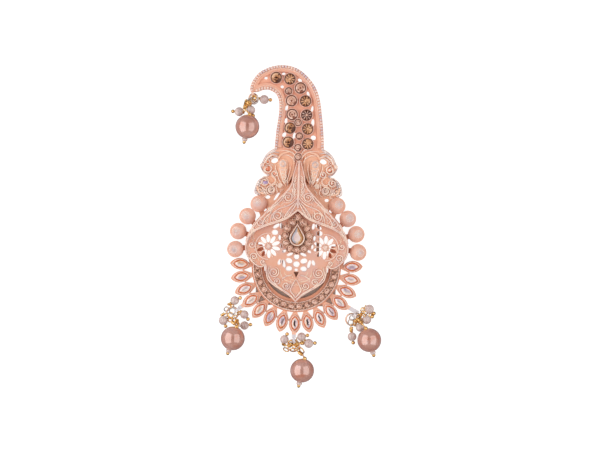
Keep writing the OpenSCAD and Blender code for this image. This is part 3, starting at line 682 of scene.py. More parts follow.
@dataclass(frozen=True)
class BeadGlass(Finish):
    """Small milky glass beads with a lilac cast: cloudy, half clear and polished."""

    def look(self, paint: Paint) -> None:
        """Cloud the glass, and let some light into it.

        Args:
            paint: the new material's nodes.
        """
        colour = paint.add("ValToRGB", (paint.add("TexNoise", {"Detail": 2.0}, size=2.4),),
                           stops=((0.3, "#c2a8a4"), (0.52, "#d3bdb8"), (0.72, "#e2cfc8")))
        paint.coat(Base_Color=colour, Roughness=0.26, Coat_Weight=0.7, Coat_Roughness=0.08, Subsurface_Weight=0.25,
                   Subsurface_Radius=(0.8 * MM, 0.6 * MM, 0.6 * MM), Subsurface_Scale=1.0)


@dataclass(frozen=True)
class PlatedWire(Finish):
    """Bright plated brass wire: smooth metal with the faint lines of the drawing die."""

    colour: str
    worn: str
    roughness: float

    def look(self, paint: Paint) -> None:
        """Dull the plated finish where it is worn.

        Args:
            paint: the new material's nodes.
        """
        wear = paint.add("MapRange", (paint.add("TexNoise", {"Detail": 3.0}, size=1.2), 0.4, 0.66))
        paint.coat(Base_Color=paint.layers(self.colour, (wear, self.worn)), Metallic=1.0,
                   Roughness=paint.add("MapRange", (wear, 0.0, 1.0, self.roughness, self.roughness + 0.12)))


@dataclass(frozen=True)
class OpalSheet(Finish):
    """Opal acrylic of a light table, lit from below: an even matt white without edges or deep shadows."""

    glow: float

    def look(self, paint: Paint) -> None:
        """Cloud the sheet faintly, and let it glow."""
        cloud = paint.add("TexNoise", {"Detail": 3.0}, size=60.0)
        paint.coat(Base_Color=paint.layers("#969696", (cloud, "#919190")), Roughness=0.7, Specular_IOR_Level=0.2,
                   Emission_Color=(1.0, 1.0, 1.0, 1.0), Emission_Strength=self.glow)


PALE = GlazedLine("rubbed_ridge_enamel", "#fee7d4", "#ebcdc4")
GREY = GlazedLine("plated_edge_enamel", "#fbefe9", "#cdc1c6", 0.2)
ROSY = GlazedLine("rosy_bezel_lacquer", "#cf9c82", "#ac7a62")
CHAMPAGNE = FoiledGlass("foiled_champagne_glass")
GOLD = PlatedWire("yellow_gold_plate", "#fad492", "#e2aa62", 0.24)
NICKEL = PlatedWire("nickel_plate", "#e6dad4", "#c4b4ae", 0.25)
LILAC = BeadGlass("lilac_milk_glass")


def dress(name: str, finish: Finish) -> None:
    """Give all of a solid one finish, without a change to its shape.

    Args:
        name: the solid's name.
        finish: its finish.
    """
    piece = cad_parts[name]
    if not piece.material_slots:
        piece.data.materials.append(finish.make())
    for place in piece.material_slots:
        place.material = finish.make()


def settle(name: str, piece: Piece, finish: Finish, replaces: tuple[str, ...] = (),
           angle: float = 40.0) -> None:
    """Finish a new piece: its place in its mesh, its shading, its finish and its body.

    Args:
        name: the piece's plain name.
        piece: the finished mesh object.
        finish: its finish.
        replaces: the solids that it stands for.
        angle: edges sharper than this, in degrees, stay sharp.
    """
    alone(piece)
    bpy.ops.object.transform_apply(location=True, rotation=True, scale=True)
    bpy.ops.object.shade_smooth_by_angle(angle=math.radians(angle))
    piece.name = piece.data.name = name
    piece.data.materials.clear()
    piece.data.materials.append(finish.make())
    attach(piece, "root")
    if replaces:
        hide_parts(*replaces)
    LOG.info("%s: %d faces", name, len(piece.data.polygons))


def lay(name: str, lines: Lines, z: float, radius: float, finish: Finish, taper: float = 1.0) -> None:
    """Lay wires along flat lines and their mirror images, and finish them as one piece.

    Args:
        name: the piece's name.
        lines: the right side's lines.
        z: the height in mm.
        radius: the wires' radius in mm.
        finish: their finish.
        taper: the share of the radius that is left at their ends.
    """
    settle(name, wires([level(line, z) for line in mirrored(lines)], radius, taper=taper), finish)


class Gem(Enum):
    """Which pattern of painted reflections and shade a cut stone's facets get."""

    GOLD_WHEEL = "gold wheel"
    DARK_WHEEL = "dark wheel"
    ROSE_CUP = "rose cup"
    DARK_CUP = "dark cup"
    BUTTON = "button"


Stones = Sequence[tuple[float, float, Gem, float]]


def toss(*keys: float) -> float:
    """Give a fixed number from 0 to 1 for some keys, in place of chance, by the usual sum of a steep sine."""
    mixed = math.sin(sum(k * w for k, w in zip(keys, (12.9898, 78.233, 37.719, 9.151)))) * 43758.5453
    return mixed - math.floor(mixed)


@dataclass
class ChatonModel:
    """A round chaton: a girdle, a crown of wedges between narrow spokes, and a small table. Sizes in mm."""

    radius: float
    depth: float
    wedges: int = 9
    crown: float = 0.5
    cuts: int = 4  # facets in one wedge
    table: float = 0.2  # the table's share of the radius
    girdle: float = 0.95  # the share of the radius from which a facet is the girdle
    steps: Rows = ((0.06, 0.2), (0.3, 0.45), (0.22, 0.25), (0.2, 0.1))  # each inset and rise of the crown, as shares

    def build(self) -> Piece:
        """Model the stone about the origin, with its girdle at zero height.

        Returns:
            The mesh object.
        """
        alone()
        bpy.ops.mesh.primitive_cylinder_add(vertices=self.wedges * self.cuts, radius=self.radius * MM,
                                            depth=self.depth * MM, location=(0, 0, -self.depth / 2 * MM))
        stone = bpy.context.object
        bpy.ops.object.transform_apply(location=True, rotation=True, scale=True)
        bpy.ops.object.mode_set(mode="EDIT")
        shape = bmesh.from_edit_mesh(stone.data)
        bpy.ops.mesh.select_mode(type="FACE")
        bpy.ops.mesh.select_all(action="DESELECT")
        for face in shape.faces:
            if face.normal.z > 0.9:
                face.select_set(True)
        shape.select_flush_mode()
        bmesh.update_edit_mesh(stone.data)
        for thickness, rise in self.steps:
            bpy.ops.mesh.inset(thickness=thickness * self.radius * MM, depth=0.0)
            bpy.ops.transform.translate(value=(0, 0, rise * self.crown * MM))
        bpy.ops.object.mode_set(mode="OBJECT")
        return stone

    def shade(self, stone: Piece, look: Gem, turn: float, number: int) -> None:
        """Write each facet's tint and its painted brightness, which stands for reflection on bright facets and shade on
        dark ones.

        Args:
            stone: a copy of the model about the origin.
            look: how its foil looks.
            turn: the angle of its painted lit side, in degrees.
            number: the stone's number, which varies its wedges.
        """
        bright, tint = [stone.data.attributes.new(word, "FLOAT", "FACE") for word in ("shade", "tint")]
        for face in stone.data.polygons:
            share = math.hypot(face.center.x, face.center.y) / (self.radius * MM)
            angle = math.degrees(math.atan2(face.center.y, face.center.x)) % 360
            step = int(angle / (360 / self.wedges / self.cuts))
            bright.data[face.index].value = self.brightness(look, share, step, (angle - turn) % 360, number)
            tint.data[face.index].value = 0.15 if look in (Gem.GOLD_WHEEL, Gem.DARK_CUP) else 0.8

    def brightness(self, look: Gem, share: float, step: int, angle: float, number: int) -> float:
        """Give one facet's painted brightness, which stands for reflection on bright facets and shade on dark ones.

        Args:
            look: how the stone's foil looks.
            share: the facet's distance from the middle over the radius.
            step: the facet's number round the stone.
            angle: the facet's angle from the stone's painted lit side, in degrees.
            number: the stone's number.

        Returns:
            A brightness from 0 to 1.
        """
        wedge, part = divmod(step, self.cuts)
        luck = toss(wedge, number, round(share * 4))
        # the facet's angle from the painted lit side
        away = 180 - abs(angle - 180)
        dark_wheel, table = look is Gem.DARK_WHEEL, share < self.table
        if share > self.girdle:
            return 0.1
        if look is Gem.BUTTON:
            return 0.95 if table else 0.25 if luck > 0.84 else 0.62 + 0.38 * luck
        if look is Gem.GOLD_WHEEL or dark_wheel:
            if table:
                return 0.8
            tip = 0.24 if dark_wheel or toss(wedge, number) < 0.7 else 0.6
            if part < self.cuts * (0.75 if dark_wheel else 0.5) and share > tip:
                return 0.5 + 0.3 * luck if not dark_wheel and away < 35 else 0.02 + 0.1 * luck
            return (0.7 if dark_wheel else 0.5) + 0.3 * luck
        if look is Gem.DARK_CUP:
            if table:
                return 0.0
            if away > 135 and share > 0.45:
                return 0.03 + 0.12 * luck
            if share < 0.45:
                return 0.25 + 0.4 * (wedge % 2)
            return 0.85 if away < 60 and share > 0.6 else 0.12 if luck > 0.7 else 0.45 + 0.4 * luck
        if table:
            return 0.3
        if 0.42 < share < 0.66:
            return 0.2 if luck > 0.55 else 0.6
        return 0.3 if away > 155 and share > 0.6 else 0.62 + 0.32 * luck

    def set_stones(self, rows: Stones, z: float) -> Piece:
        """Copy the stone to its places and shade each copy.

        Args:
            rows: x, y, look and turn of each stone.
            z: the girdles' height in mm.

        Returns:
            The joined stones.
        """
        return strew(self.build(), [spot(x, y, z) for x, y, _, _ in rows],
                     lambda stone, i: self.shade(stone, rows[i][2], rows[i][3], i))


def settle_chatons(name: str, stones: Piece, solid: str) -> None:
    """Finish a field of chatons, whose facets stay sharp, in place of a solid."""
    settle(name, stones, CHAMPAGNE, (solid,), angle=8.0)


@dataclass
class Plume:
    """The hooked plume: its milled edge, its flat band's lines and its round stones. Sizes in mm."""

    outer: Line = (
        (10.3, 49.6), (9.8, 57.5), (9.0, 64.4), (8.0, 70.7), (6.2, 75.7), (3.2, 79.8), (-0.7, 83.1), (-4.9, 84.7),
        (-9.1, 84.9), (-13.3, 84.0), (-17.5, 81.8), (-20.3, 78.4), (-21.4, 75.3), (-21.2, 73.5))
    inner: Line = (
        (-10.5, 49.6), (-9.9, 57.6), (-9.2, 62.7), (-8.9, 66.9), (-9.2, 70.2), (-10.3, 72.7), (-11.9, 73.9),
        (-13.9, 74.6), (-16.0, 74.4), (-17.7, 73.7), (-19.0, 73.4))
    large: Stones = (
        (-10.6, 79.6, Gem.DARK_CUP, 120), (-4.8, 79.2, Gem.GOLD_WHEEL, 200), (-0.3, 75.5, Gem.ROSE_CUP, 110),
        (-3.9, 70.1, Gem.ROSE_CUP, 150), (2.0, 70.1, Gem.GOLD_WHEEL, 0), (-3.5, 64.3, Gem.ROSE_CUP, 120),
        (2.6, 64.2, Gem.DARK_WHEEL, 90), (-4.2, 58.6, Gem.DARK_CUP, 160), (3.2, 58.4, Gem.GOLD_WHEEL, 330),
        (-4.8, 52.6, Gem.DARK_CUP, 140), (3.4, 52.1, Gem.GOLD_WHEEL, 70))
    small: Stones = (
        (-5.2, 74.1, Gem.ROSE_CUP, 90), (-0.9, 61.0, Gem.BUTTON, 0), (-0.2, 55.3, Gem.BUTTON, 0),
        (-0.7, 50.4, Gem.BUTTON, 40), (-0.5, 46.6, Gem.BUTTON, 80))
    large_r: float = 2.08
    girdle_z: float = 2.55
    seat_z: float = 1.52
    bump_pitch: float = 1.22
    bump_r: float = 0.66
    bump_inset: float = 0.62
    bump_slant: float = 24.0  # in degrees
    ridge_inset: float = 1.5
    ring_out: float = 0.3  # how far the seat rings lie outside the bezels

    def edge(self) -> None:
        """Lay the slanted bumps of the milled edge and a thin ridge inside the flat band, on both sides."""
        places, ridges = [], []
        for line, side in ((self.outer, 1), (self.inner, -1)):
            for x, y, turn in walk(inset(smooth(line, 8), side * self.bump_inset), self.bump_pitch):
                slant = Matrix.Rotation(turn + math.radians(90 + side * self.bump_slant), 4, "Z")
                places.append(spot(x, y, RIM_Z + 0.02) @ slant)
            ridges.append(level(inset(smooth(line, 6), side * self.ridge_inset), RIM_Z))
        settle("plume_milled_edge", strew(ball(self.bump_r, (1.0, 0.85, 0.85)), places),
               GlazedLine("rubbed_edge_enamel", "#fbdccd", "#d3bfc8"))
        settle("plume_band_ridges", wires(ridges, 0.2, taper=0.3),
               GlazedLine("band_ridge_enamel", "#f9d9c8", "#eec2ac"))

    def stones(self) -> None:
        """Set the sixteen chatons, with a thin bezel and a paler ring round each."""
        depth = self.girdle_z - self.seat_z
        big = ChatonModel(self.large_r, depth).set_stones(self.large, self.girdle_z)
        little = ChatonModel(SMALL_R, depth, 6, 0.35).set_stones(self.small, self.girdle_z)
        settle_chatons("plume_chatons", join([big, little]), "plume_stones")
        places = [(x, y, r) for rows, r in ((self.large, self.large_r), (self.small, SMALL_R)) for x, y, _, _ in rows]
        settle("plume_bezels", bezels(places, RELIEF_Z + 0.02),
               GlazedLine("dark_bezel_line", "#8c513a", "#6b3c2c", 0.4))
        settle("plume_seat_rings", bezels([(x, y, r + self.ring_out) for x, y, r in places], RELIEF_Z - 0.12),
               GlazedLine("seat_ring_enamel", "#fbd8c8", "#edbfb0"))

    def build(self) -> None:
        """Build the plume's pieces in order."""
        self.edge()
        self.stones()


@dataclass
class Shoulders:
    """The two birds with their scrolls and crests. Rows are given for the right side, and the left mirrors them."""

    head: Flat = (6.8, 43.5)
    head_ball: Flat = (0.9, 2.3)  # height of the head ball's middle, and its radius
    eye_rings: Flat = (1.25, 1.95)  # their radii
    eye_grains: tuple[float, int] = (0.78, 9)  # their distance from the eye's middle and their number
    ridges: Sequence[Rows] = (  # x, y, z along each crest
        ((9.4, 49.5, 1.85), (11.6, 48.6, 1.85), (13.4, 46.9, 1.85), (14.7, 44.9, 1.85), (15.3, 43.4, 1.85)),
        ((8.7, 46.4, 2.7), (11.2, 47.3, 2.72), (13.4, 45.8, 2.72), (14.7, 43.5, 2.7)),
        ((8.4, 48.0, 1.8), (10.6, 48.5, 1.8), (12.8, 47.4, 1.8), (14.2, 45.2, 1.8)),
        ((9.0, 46.0, 1.8), (10.6, 46.3, 1.8), (12.2, 45.6, 1.8), (13.3, 43.8, 1.8)))
    outline: Line = (
        (9.6, 49.9), (12.0, 48.6), (14.0, 46.5), (15.2, 44.1), (16.0, 42.4), (15.3, 40.7), (14.0, 39.3), (12.4, 38.7),
        (14.3, 37.7), (16.0, 36.6), (17.3, 35.1), (18.0, 33.2), (18.1, 31.1), (16.7, 30.2))
    lobe: Line = (
        (15.8, 36.6), (17.0, 35.1), (17.7, 33.2), (17.8, 31.2), (16.9, 30.5))
    bosses: Rows = (  # x, y, radius
        (12.9, 41.3, 1.3), (10.1, 39.3, 1.0), (14.0, 35.8, 1.0), (13.2, 44.2, 0.7), (14.6, 32.2, 0.7))
    rosettes: Rows = (
        (11.3, 32.4, 1.25), (7.8, 34.3, 0.8), (15.5, 42.8, 0.6))
    scrolls: Rows = (
        (13.2, 41.1, 1.8, 60, 1.4), (10.4, 39.3, 1.3, 200, 1.2), (14.4, 35.7, 1.9, 90, 1.4),
        (11.6, 32.5, 2.2, 230, 1.6), (15.9, 32.3, 1.5, 40, 1.2))
    vine_lines: Lines = (
        ((1.0, 45.6), (2.2, 47.6), (4.6, 48.9), (8.2, 49.0)), ((1.3, 43.6), (2.8, 45.9), (5.0, 47.2), (7.6, 47.0)),
        ((3.9, 43.4), (3.7, 41.2), (4.2, 38.8), (4.8, 36.2), (4.6, 34.0)),
        ((9.7, 43.2), (9.9, 41.6), (9.3, 39.8), (8.7, 38.0), (7.8, 36.0), (6.2, 34.0)),
        ((11.9, 38.5), (9.9, 37.4), (10.2, 35.4), (12.3, 34.4)), ((12.6, 37.5), (14.6, 38.0), (16.0, 36.6)),
        ((8.8, 36.0), (9.4, 33.6), (8.8, 31.2), (10.2, 29.8)),
        ((13.8, 33.9), (14.4, 31.4), (13.2, 30.0), (14.8, 29.2)), ((6.4, 33.2), (7.6, 31.6), (7.8, 30.6)),
        ((10.8, 42.6), (11.6, 43.2), (12.4, 43.0)), ((0.9, 47.8), (1.9, 49.3), (4.0, 50.1)),
        ((9.0, 35.0), (10.4, 34.6), (12.4, 35.2), (12.6, 36.4)), ((13.0, 40.0), (14.4, 40.2), (14.8, 41.4)),
        ((12.6, 30.6), (13.8, 31.2), (15.2, 30.6)))
    violet: Flat = (-13.9, 35.4)
    slit: Line = (
        (2.1, 39.6), (2.6, 38.0), (3.2, 36.5), (4.0, 35.0))
    barbs: int = 5  # down each side of the neck
    barb_top: float = 41.6
    barb_pitch: float = 1.25
    barb_sides: Line = ((8.5, -0.38), (4.9, 0.1))  # the first barb's x and the step to the next, outside and inside
    neck_spots: Rows = (
        (7.0, 41.0, 0.5), (6.7, 39.4, 0.46), (6.2, 38.0, 0.42), (5.8, 36.8, 0.36), (5.4, 35.8, 0.3))

    def heads(self) -> None:
        """Lay the rings and grains of each bird's eye, and the spots and feathers of its neck."""
        middle, radius = self.head_ball
        x, y = self.head
        rings, grains, spots = [], [], []
        for side in SIDES:
            for reach in self.eye_rings:
                rings.append(level(circle(side * x, y, reach, 24), middle + math.sqrt(radius ** 2 - reach ** 2)))
            grains += [spot(*p, middle + radius - 0.12) for p in circle(side * x, y, *self.eye_grains)]
        settle("bird_eye_rings", wires(rings, 0.17, closed=True), GREY)
        settle("bird_eye_grains", strew(ball(0.24), grains), GREY)
        feathers = []
        for x, y, r in self.neck_spots:
            spots += [spot(side * x, y, RELIEF_Z, r) for side in SIDES]
            for way in (-1, 1):
                feathers.append([(x + way * 0.35, y - 0.75), (x + way * (0.5 + r), y - 0.1),
                                 (x + way * (0.45 + 1.6 * r), y + 0.8)])
        settle("neck_spots", strew(ball(1.0, (1.0, 1.0, 0.5)), spots), PALE)
        for k in range(self.barbs):
            y = self.barb_top - self.barb_pitch * k
            outer, inner = [start + step * k for start, step in self.barb_sides]
            feathers.append([(outer, y), (outer - 0.7, y - 0.9), (outer - 1.0 - 0.05 * k, y - 1.9)])
            feathers.append([(inner, y), (inner + 0.5, y - 0.8), (inner + 0.6, y - 1.7)])
        lay("bird_feathers", [smooth(line, 3) for line in feathers], RELIEF_Z, 0.17, PALE, 0.4)

    def vines(self) -> None:
        """Lay the scrolls, the collar below the plume, the vines between the bosses and the grooves by the necks."""
        lines = [scroll(*row) for row in self.scrolls] + [smooth(line) for line in self.vine_lines]
        lay("shoulder_vines", lines, RELIEF_Z - 0.08, 0.2, GlazedLine("rubbed_vine_enamel", "#fde8d6", "#f1d0c2"), 0.4)
        lay("neck_grooves", [smooth(self.slit, 5)], PLATE_Z + 0.35, 0.3,
            GlazedLine("groove_lacquer", "#a5603f", "#7c4230", 0.5), 0.3)

    def edges(self) -> None:
        """Lay the ridges of each crest, the thin edge of the shoulder and its two rows of beads."""
        crests = [[at(side * x, y, z) for x, y, z in ridge] for ridge in self.ridges for side in SIDES]
        settle("bird_crests", wires(crests, 0.3, taper=0.4), GREY)
        lay("shoulder_edge", [smooth(self.outline)], PLATE_Z + 0.05, 0.24,
            GlazedLine("worn_edge_plating", "#ead8d2", "#b9aab0"))
        places = []
        for line, radius in ((self.lobe, 0.52), ([(x - 0.95, y - 0.15) for x, y in self.lobe], 0.4)):
            for x, y, _ in walk(smooth(line), 2 * radius):
                places += [spot(side * x, y, RIM_Z - 0.3, radius) for side in SIDES]
        settle("shoulder_scallops", strew(ball(1.0), places), GREY)

    def roundels(self) -> None:
        """Set the coral bosses of the scrolls, whose middles are bare on the right, and the ringed rosettes."""
        places = [spot(side * x, y, RIM_Z, r * 0.85) for x, y, r in self.bosses for side in SIDES]
        settle("scroll_bosses", strew(ball(1.0, (1, 1, 0.62), 2), places),
               GlazedLine("coral_pool_enamel", "#e8906c", "#dd7657", 0.22))
        place = spot(*self.violet, RIM_Z + 0.25) @ Matrix.Diagonal((1.25, 0.8, 1.0, 1.0))
        settle("violet_boss", strew(ball(1.0, (1, 1, 0.62), 2), [place]),
               GlazedLine("violet_pool_enamel", "#c3a9cf", "#9c86ae", 0.2))
        rings = [level(circle(side * x, y, 1.15 * r, 18), RELIEF_Z - 0.1)
                 for x, y, r in (*self.bosses, *self.rosettes) for side in SIDES]
        settle("scroll_rings", wires(rings, 0.16, closed=True), PALE)
        grains = [spot(x, y, RELIEF_Z + 0.1 * r, 1.5 * r) for x, y, r in self.bosses]
        for x, y, r in self.rosettes:
            for side in SIDES:
                grains.append(spot(side * x, y, RELIEF_Z))
                grains += [spot(*p, RELIEF_Z - 0.1) for p in circle(side * x, y, r * 0.62, 7)]
        settle("rosette_grains", strew(ball(0.3), grains), PALE)

    def build(self) -> None:
        """Build the birds' pieces in order."""
        self.heads()
        self.vines()
        self.edges()
        self.roundels()


@dataclass
class Leaf:
    """The pressed upper leaf with its chased ribs, scrolls and barbs. Rows are for the right half."""

    relief: float = 0.4  # how high the ridges stand over the leaf's face
    fine_lift: float = 0.08  # how high the fine lines stand
    rib_shifts: Flat = (0.75, 0.1)  # how far the two ridges of the rib lie above its middle
    stem: Line = ((0.0, 44.6), (0.0, 38.0), (0.0, 31.0), (0.0, 24.8))
    barbs: tuple[float, ...] = (9, 38.6, 0.95, 1.2, 0.17)  # their number, first y, pitch, first width and its growth
    edge: Line = (
        (0.9, 45.0), (2.6, 38.7), (3.1, 35.2), (5.1, 32.2), (8.2, 28.9), (11.9, 24.9), (15.1, 21.3), (18.2, 17.8),
        (20.4, 14.2), (21.6, 10.6))
    rib: Line = (
        (21.2, 10.3), (18.9, 13.9), (14.2, 16.7), (9.0, 18.6), (4.3, 20.5), (0.0, 23.9))
    veins: Lines = (
        ((0.2, 29.4), (2.0, 27.3), (4.4, 25.8), (7.8, 24.6), (10.0, 22.8), (11.1, 20.7), (11.3, 18.6)),
        ((0.2, 28.0), (1.2, 25.8), (2.7, 23.4), (4.2, 21.0)), ((1.0, 27.2), (3.2, 24.8), (5.0, 22.2), (5.8, 20.2)),
        ((11.0, 23.0), (13.5, 20.6), (14.6, 18.2), (14.3, 17.2)),
        ((4.6, 32.0), (7.2, 28.0), (10.6, 25.0), (13.0, 22.4)), ((1.0, 37.0), (2.2, 34.6), (1.2, 32.4)))
    scrolls: Rows = (
        (8.3, 21.6, 2.3, 150, 1.7), (4.2, 29.4, 2.3, -60, 1.7), (15.6, 18.7, 1.7, 160, 1.4),
        (18.5, 15.4, 1.1, 150, 1.2), (11.8, 24.4, 1.0, 120, 1.1))
    fine: Lines = (
        ((0.6, 31.0), (1.6, 28.9), (3.6, 27.4), (5.8, 27.2), (7.0, 26.0)),
        ((7.4, 26.6), (9.4, 25.6), (11.0, 23.6), (12.2, 21.0), (12.6, 18.4)), ((2.2, 25.6), (3.8, 23.0), (4.8, 20.8)),
        ((6.6, 24.2), (7.0, 22.6), (6.0, 21.0)), ((13.4, 22.4), (15.4, 20.8), (17.2, 18.4), (17.4, 15.4)),
        ((16.6, 20.2), (18.6, 17.4), (20.2, 13.4)), ((2.6, 33.4), (4.4, 32.0), (6.6, 29.0), (6.4, 27.4)),
        ((10.2, 19.0), (10.6, 20.6), (9.8, 22.4)), ((0.7, 33.4), (1.6, 31.6), (1.4, 29.8)),
        ((1.4, 35.2), (2.4, 33.0), (2.2, 31.2)), ((6.2, 31.0), (5.8, 29.2), (4.6, 28.2)),
        ((8.6, 28.0), (8.6, 26.6), (7.6, 25.8)), ((11.6, 24.8), (11.4, 22.9), (10.4, 21.6)),
        ((14.2, 21.4), (13.6, 19.6), (12.6, 18.6)), ((16.8, 19.0), (16.2, 17.2), (15.2, 16.4)),
        ((19.2, 15.8), (18.4, 14.4)), ((3.4, 23.4), (5.2, 21.2), (6.8, 19.8)), ((1.4, 24.4), (2.8, 22.6), (4.4, 20.8)))
    dots: Rows = ((7.0, 23.0, 0.28), (12.7, 20.2, 0.28), (5.6, 26.0, 0.26), (9.4, 27.0, 0.26), (16.9, 17.1, 0.26))

    def chasing(self) -> None:
        """Lay rounded ridges on the ribs, veins and scrolls, and the fine chasing between them."""
        main = [smooth(v) for v in self.veins] + [scroll(*row) for row in self.scrolls]
        main += [smooth([(x, y + shift) for x, y in self.rib], 5) for shift in self.rib_shifts]
        paths = [on_leaf(line, self.relief) for line in mirrored(main)]
        paths.append(on_leaf(self.stem, self.relief + 0.05))
        settle("leaf_ridges", wires(paths, 0.2, taper=0.4), PALE)
        thin = [smooth(line) for line in self.fine]
        count, top, pitch, first, growth = self.barbs
        for row in range(count):
            y, wide = top - row * pitch, first + growth * row
            thin.append(smooth([(0.75, y), (0.75 + wide * 0.5, y - wide * 0.45), (0.75 + wide, y - wide * 1.15)], 3))
        thin.append(smooth([(x - 0.5, y - 0.3) for x, y in self.edge[1:]]))
        settle("leaf_fine_chasing", wires([on_leaf(line, self.fine_lift) for line in mirrored(thin)], 0.17, taper=0.4),
               GlazedLine("fine_chased_enamel", "#fdeadb", "#f0d2c4"))

    def build(self) -> None:
        """Enamel the leaf, chase it, and set a grain in the eye of each scroll and along the ribs."""
        dress("upper_leaf", CastEnamel("leaf_stoving_enamel", "#eeae92", "#efb59c", "#f8d8ca", -0.05, 0.42,
                                       pressed=True, lace=0.35))
        self.chasing()
        grains = [(x, y, 0.36) for x, y, *_ in self.scrolls] + list(self.dots)
        places = [spot(side * x, y, leaf_z(x, y) + self.relief, r) for x, y, r in grains for side in SIDES]
        settle("leaf_grains", strew(ball(1.0), places), PALE)


@dataclass
class Trefoil:
    """The pierced trefoil lattice with its rolled rim, rosettes and scrolls. Rows are for the right half."""

    top: float = 4.75
    rim: Line = (
        (15.4, 17.4), (19.0, 14.0), (21.2, 10.6), (21.8, 8.1), (21.2, 5.2), (20.0, 3.1), (18.2, 1.3), (16.2, 0.0),
        (14.4, -0.3), (13.1, 0.4), (12.9, -2.2), (12.2, -5.0), (11.1, -6.4), (9.2, -7.9), (5.9, -9.9), (2.7, -12.0),
        (0.0, -14.5))
    scrolls: Rows = (
        (17.9, 4.3, 1.8, 250, 1.5), (18.9, 9.2, 1.5, 100, 1.3), (9.4, -2.1, 2.3, 100, 1.7), (8.1, -6.0, 1.6, 30, 1.4),
        (4.1, -7.6, 1.7, 150, 1.5), (14.1, 2.1, 1.2, 200, 1.2))
    veins: Lines = (
        ((11.4, 0.4), (11.8, -2.6), (10.6, -5.4), (7.4, -8.1), (3.4, -10.6), (0.4, -13.2)),
        ((0.0, -4.8), (1.3, -7.0), (2.2, -9.6), (0.9, -11.4), (0.0, -12.6)), ((1.6, -3.0), (4.0, -3.6), (6.0, -5.0)))
    rim_inset: float = -0.38
    hole_grow: float = 0.3  # how much larger than its opening each fine wire is
    rosette: Flat = (11.9, 8.7)
    eye_grains: tuple[float, int] = (0.75, 8)  # their distance from the rosette's middle and their number
    ray: Sequence[float] = (0.7, 2.8, 4.9)  # each ray's points, from the rosette's middle
    ray_count: int = 10
    ray_turn: float = -4.0  # the first ray's angle
    # the arc outside the rays: its radius, points, start and sweep
    halo: tuple[float, int, float, float] = (5.5, 24, -85.0, 184.0)
    holes: Rows = (  # x, y, length, width, angle
        (8.8, 17.3, 3.0, 1.3, -35), (6.7, 17.4, 2.4, 1.1, 80), (9.3, 14.6, 2.4, 2.0, 0), (7.3, 12.5, 2.0, 0.9, 85),
        (6.5, 8.9, 1.7, 0.8, 80), (5.2, 6.9, 1.6, 0.9, -30), (2.8, 5.6, 2.6, 1.0, -22), (7.1, 2.2, 2.2, 1.1, 110),
        (5.3, 1.6, 3.2, 1.1, 75), (3.1, 2.9, 2.6, 1.9, 20), (3.1, -0.4, 2.4, 1.8, -10))
    middle_holes: Rows = (
        (0.0, 4.7, 2.2, 2.0, 90), (0.0, 1.5, 2.4, 2.2, 0), (0.0, -0.9, 1.1, 0.9, 0))
    heart_lines: Lines = (
        ((10.6, 0.6), (11.6, -1.6), (11.2, -4.2), (9.6, -6.2)),
        ((6.6, -0.6), (6.4, -3.2), (4.6, -5.2), (2.2, -6.0), (0.0, -7.2)),
        ((0.0, -7.8), (1.6, -7.0), (2.6, -8.2), (1.9, -9.8), (0.0, -11.0)), ((6.0, -7.2), (5.0, -8.8), (3.4, -9.2)),
        ((8.6, -4.6), (7.0, -5.4), (6.2, -7.0)), ((1.9, -3.4), (3.4, -3.6), (4.6, -2.8), (5.0, -1.6)),
        ((0.6, -5.2), (1.8, -5.0), (3.0, -4.6)), ((16.4, 9.4), (17.0, 6.6), (16.2, 3.6), (14.6, 1.6)),
        ((17.9, 14.2), (18.6, 12.0), (18.0, 10.4)), ((20.6, 9.6), (20.4, 6.4), (19.2, 3.6), (17.2, 1.6)))
    dots: Line = (
        (17.6, 7.0), (16.9, 1.9), (6.2, -3.2), (5.6, -5.4), (11.0, -4.6), (2.2, -5.6), (3.4, -9.4), (19.9, 6.7),
        (1.4, -3.9), (9.0, -7.6), (19.6, 12.0), (18.0, 11.8))

    def lines(self) -> None:
        """Lay the rolled rim, the scrolls and the rosettes' rings and rays."""
        main = [inset(smooth(self.rim, 5), self.rim_inset)]
        main += [smooth(v) for v in self.veins] + [scroll(*row) for row in self.scrolls]
        lay("lattice_ridges", main, self.top, 0.19, PALE, 0.6)
        x, y = self.rosette
        ways = [heading(360 * i / self.ray_count + self.ray_turn) for i in range(self.ray_count)]
        rays = [[(x + way.x * reach, y + way.y * reach) for reach in self.ray] for way in ways]
        rays.append(arc(x, y, *self.halo))
        lay("rosette_rays", rays, TREFOIL_Z + 0.05, 0.2, PALE, 0.6)

    def fine_wires(self) -> None:
        """Lay a fine wire round each opening of the lattice and the fine scrolls of the heart."""
        grow = self.hole_grow
        rims, middle = [[oval(x, y, length + grow, width + grow, turn) for x, y, length, width, turn in rows]
                        for rows in (self.holes, self.middle_holes)]
        paths = [level(ring, TREFOIL_Z) for ring in mirrored(rims) + middle]
        settle("lattice_hole_rims", wires(paths, 0.15, closed=True),
               GlazedLine("lattice_wire_enamel", "#f9dfd4", "#d6c3c3"))
        lay("heart_fine_lines", [smooth(line) for line in self.heart_lines], TREFOIL_Z + 0.02, 0.14,
            GlazedLine("fine_heart_enamel", "#fdeacf", "#f2d4bd"), 0.4)

    def grains(self) -> None:
        """Set grains round the heart's scrolls and the rosettes' middles."""
        spots = [(x, y) for x, y, *_ in self.scrolls] + list(self.dots)
        places = [spot(side * x, y, TREFOIL_Z + 0.1, 0.28) for x, y in spots for side in SIDES]
        x, y = self.rosette
        places += [spot(*p, self.top, 0.3) for side in SIDES for p in circle(side * x, y, *self.eye_grains)]
        settle("lattice_grains", strew(ball(1.0), places), PALE)

    def build(self) -> None:
        """Enamel the lattice and build its pieces in order."""
        dress("trefoil_lattice", CastEnamel("lattice_stoving_enamel", "#e6a98e", "#ecb49c", "#f9dccf", 3.9, 4.75))
        self.lines()
        self.fine_wires()
        self.grains()


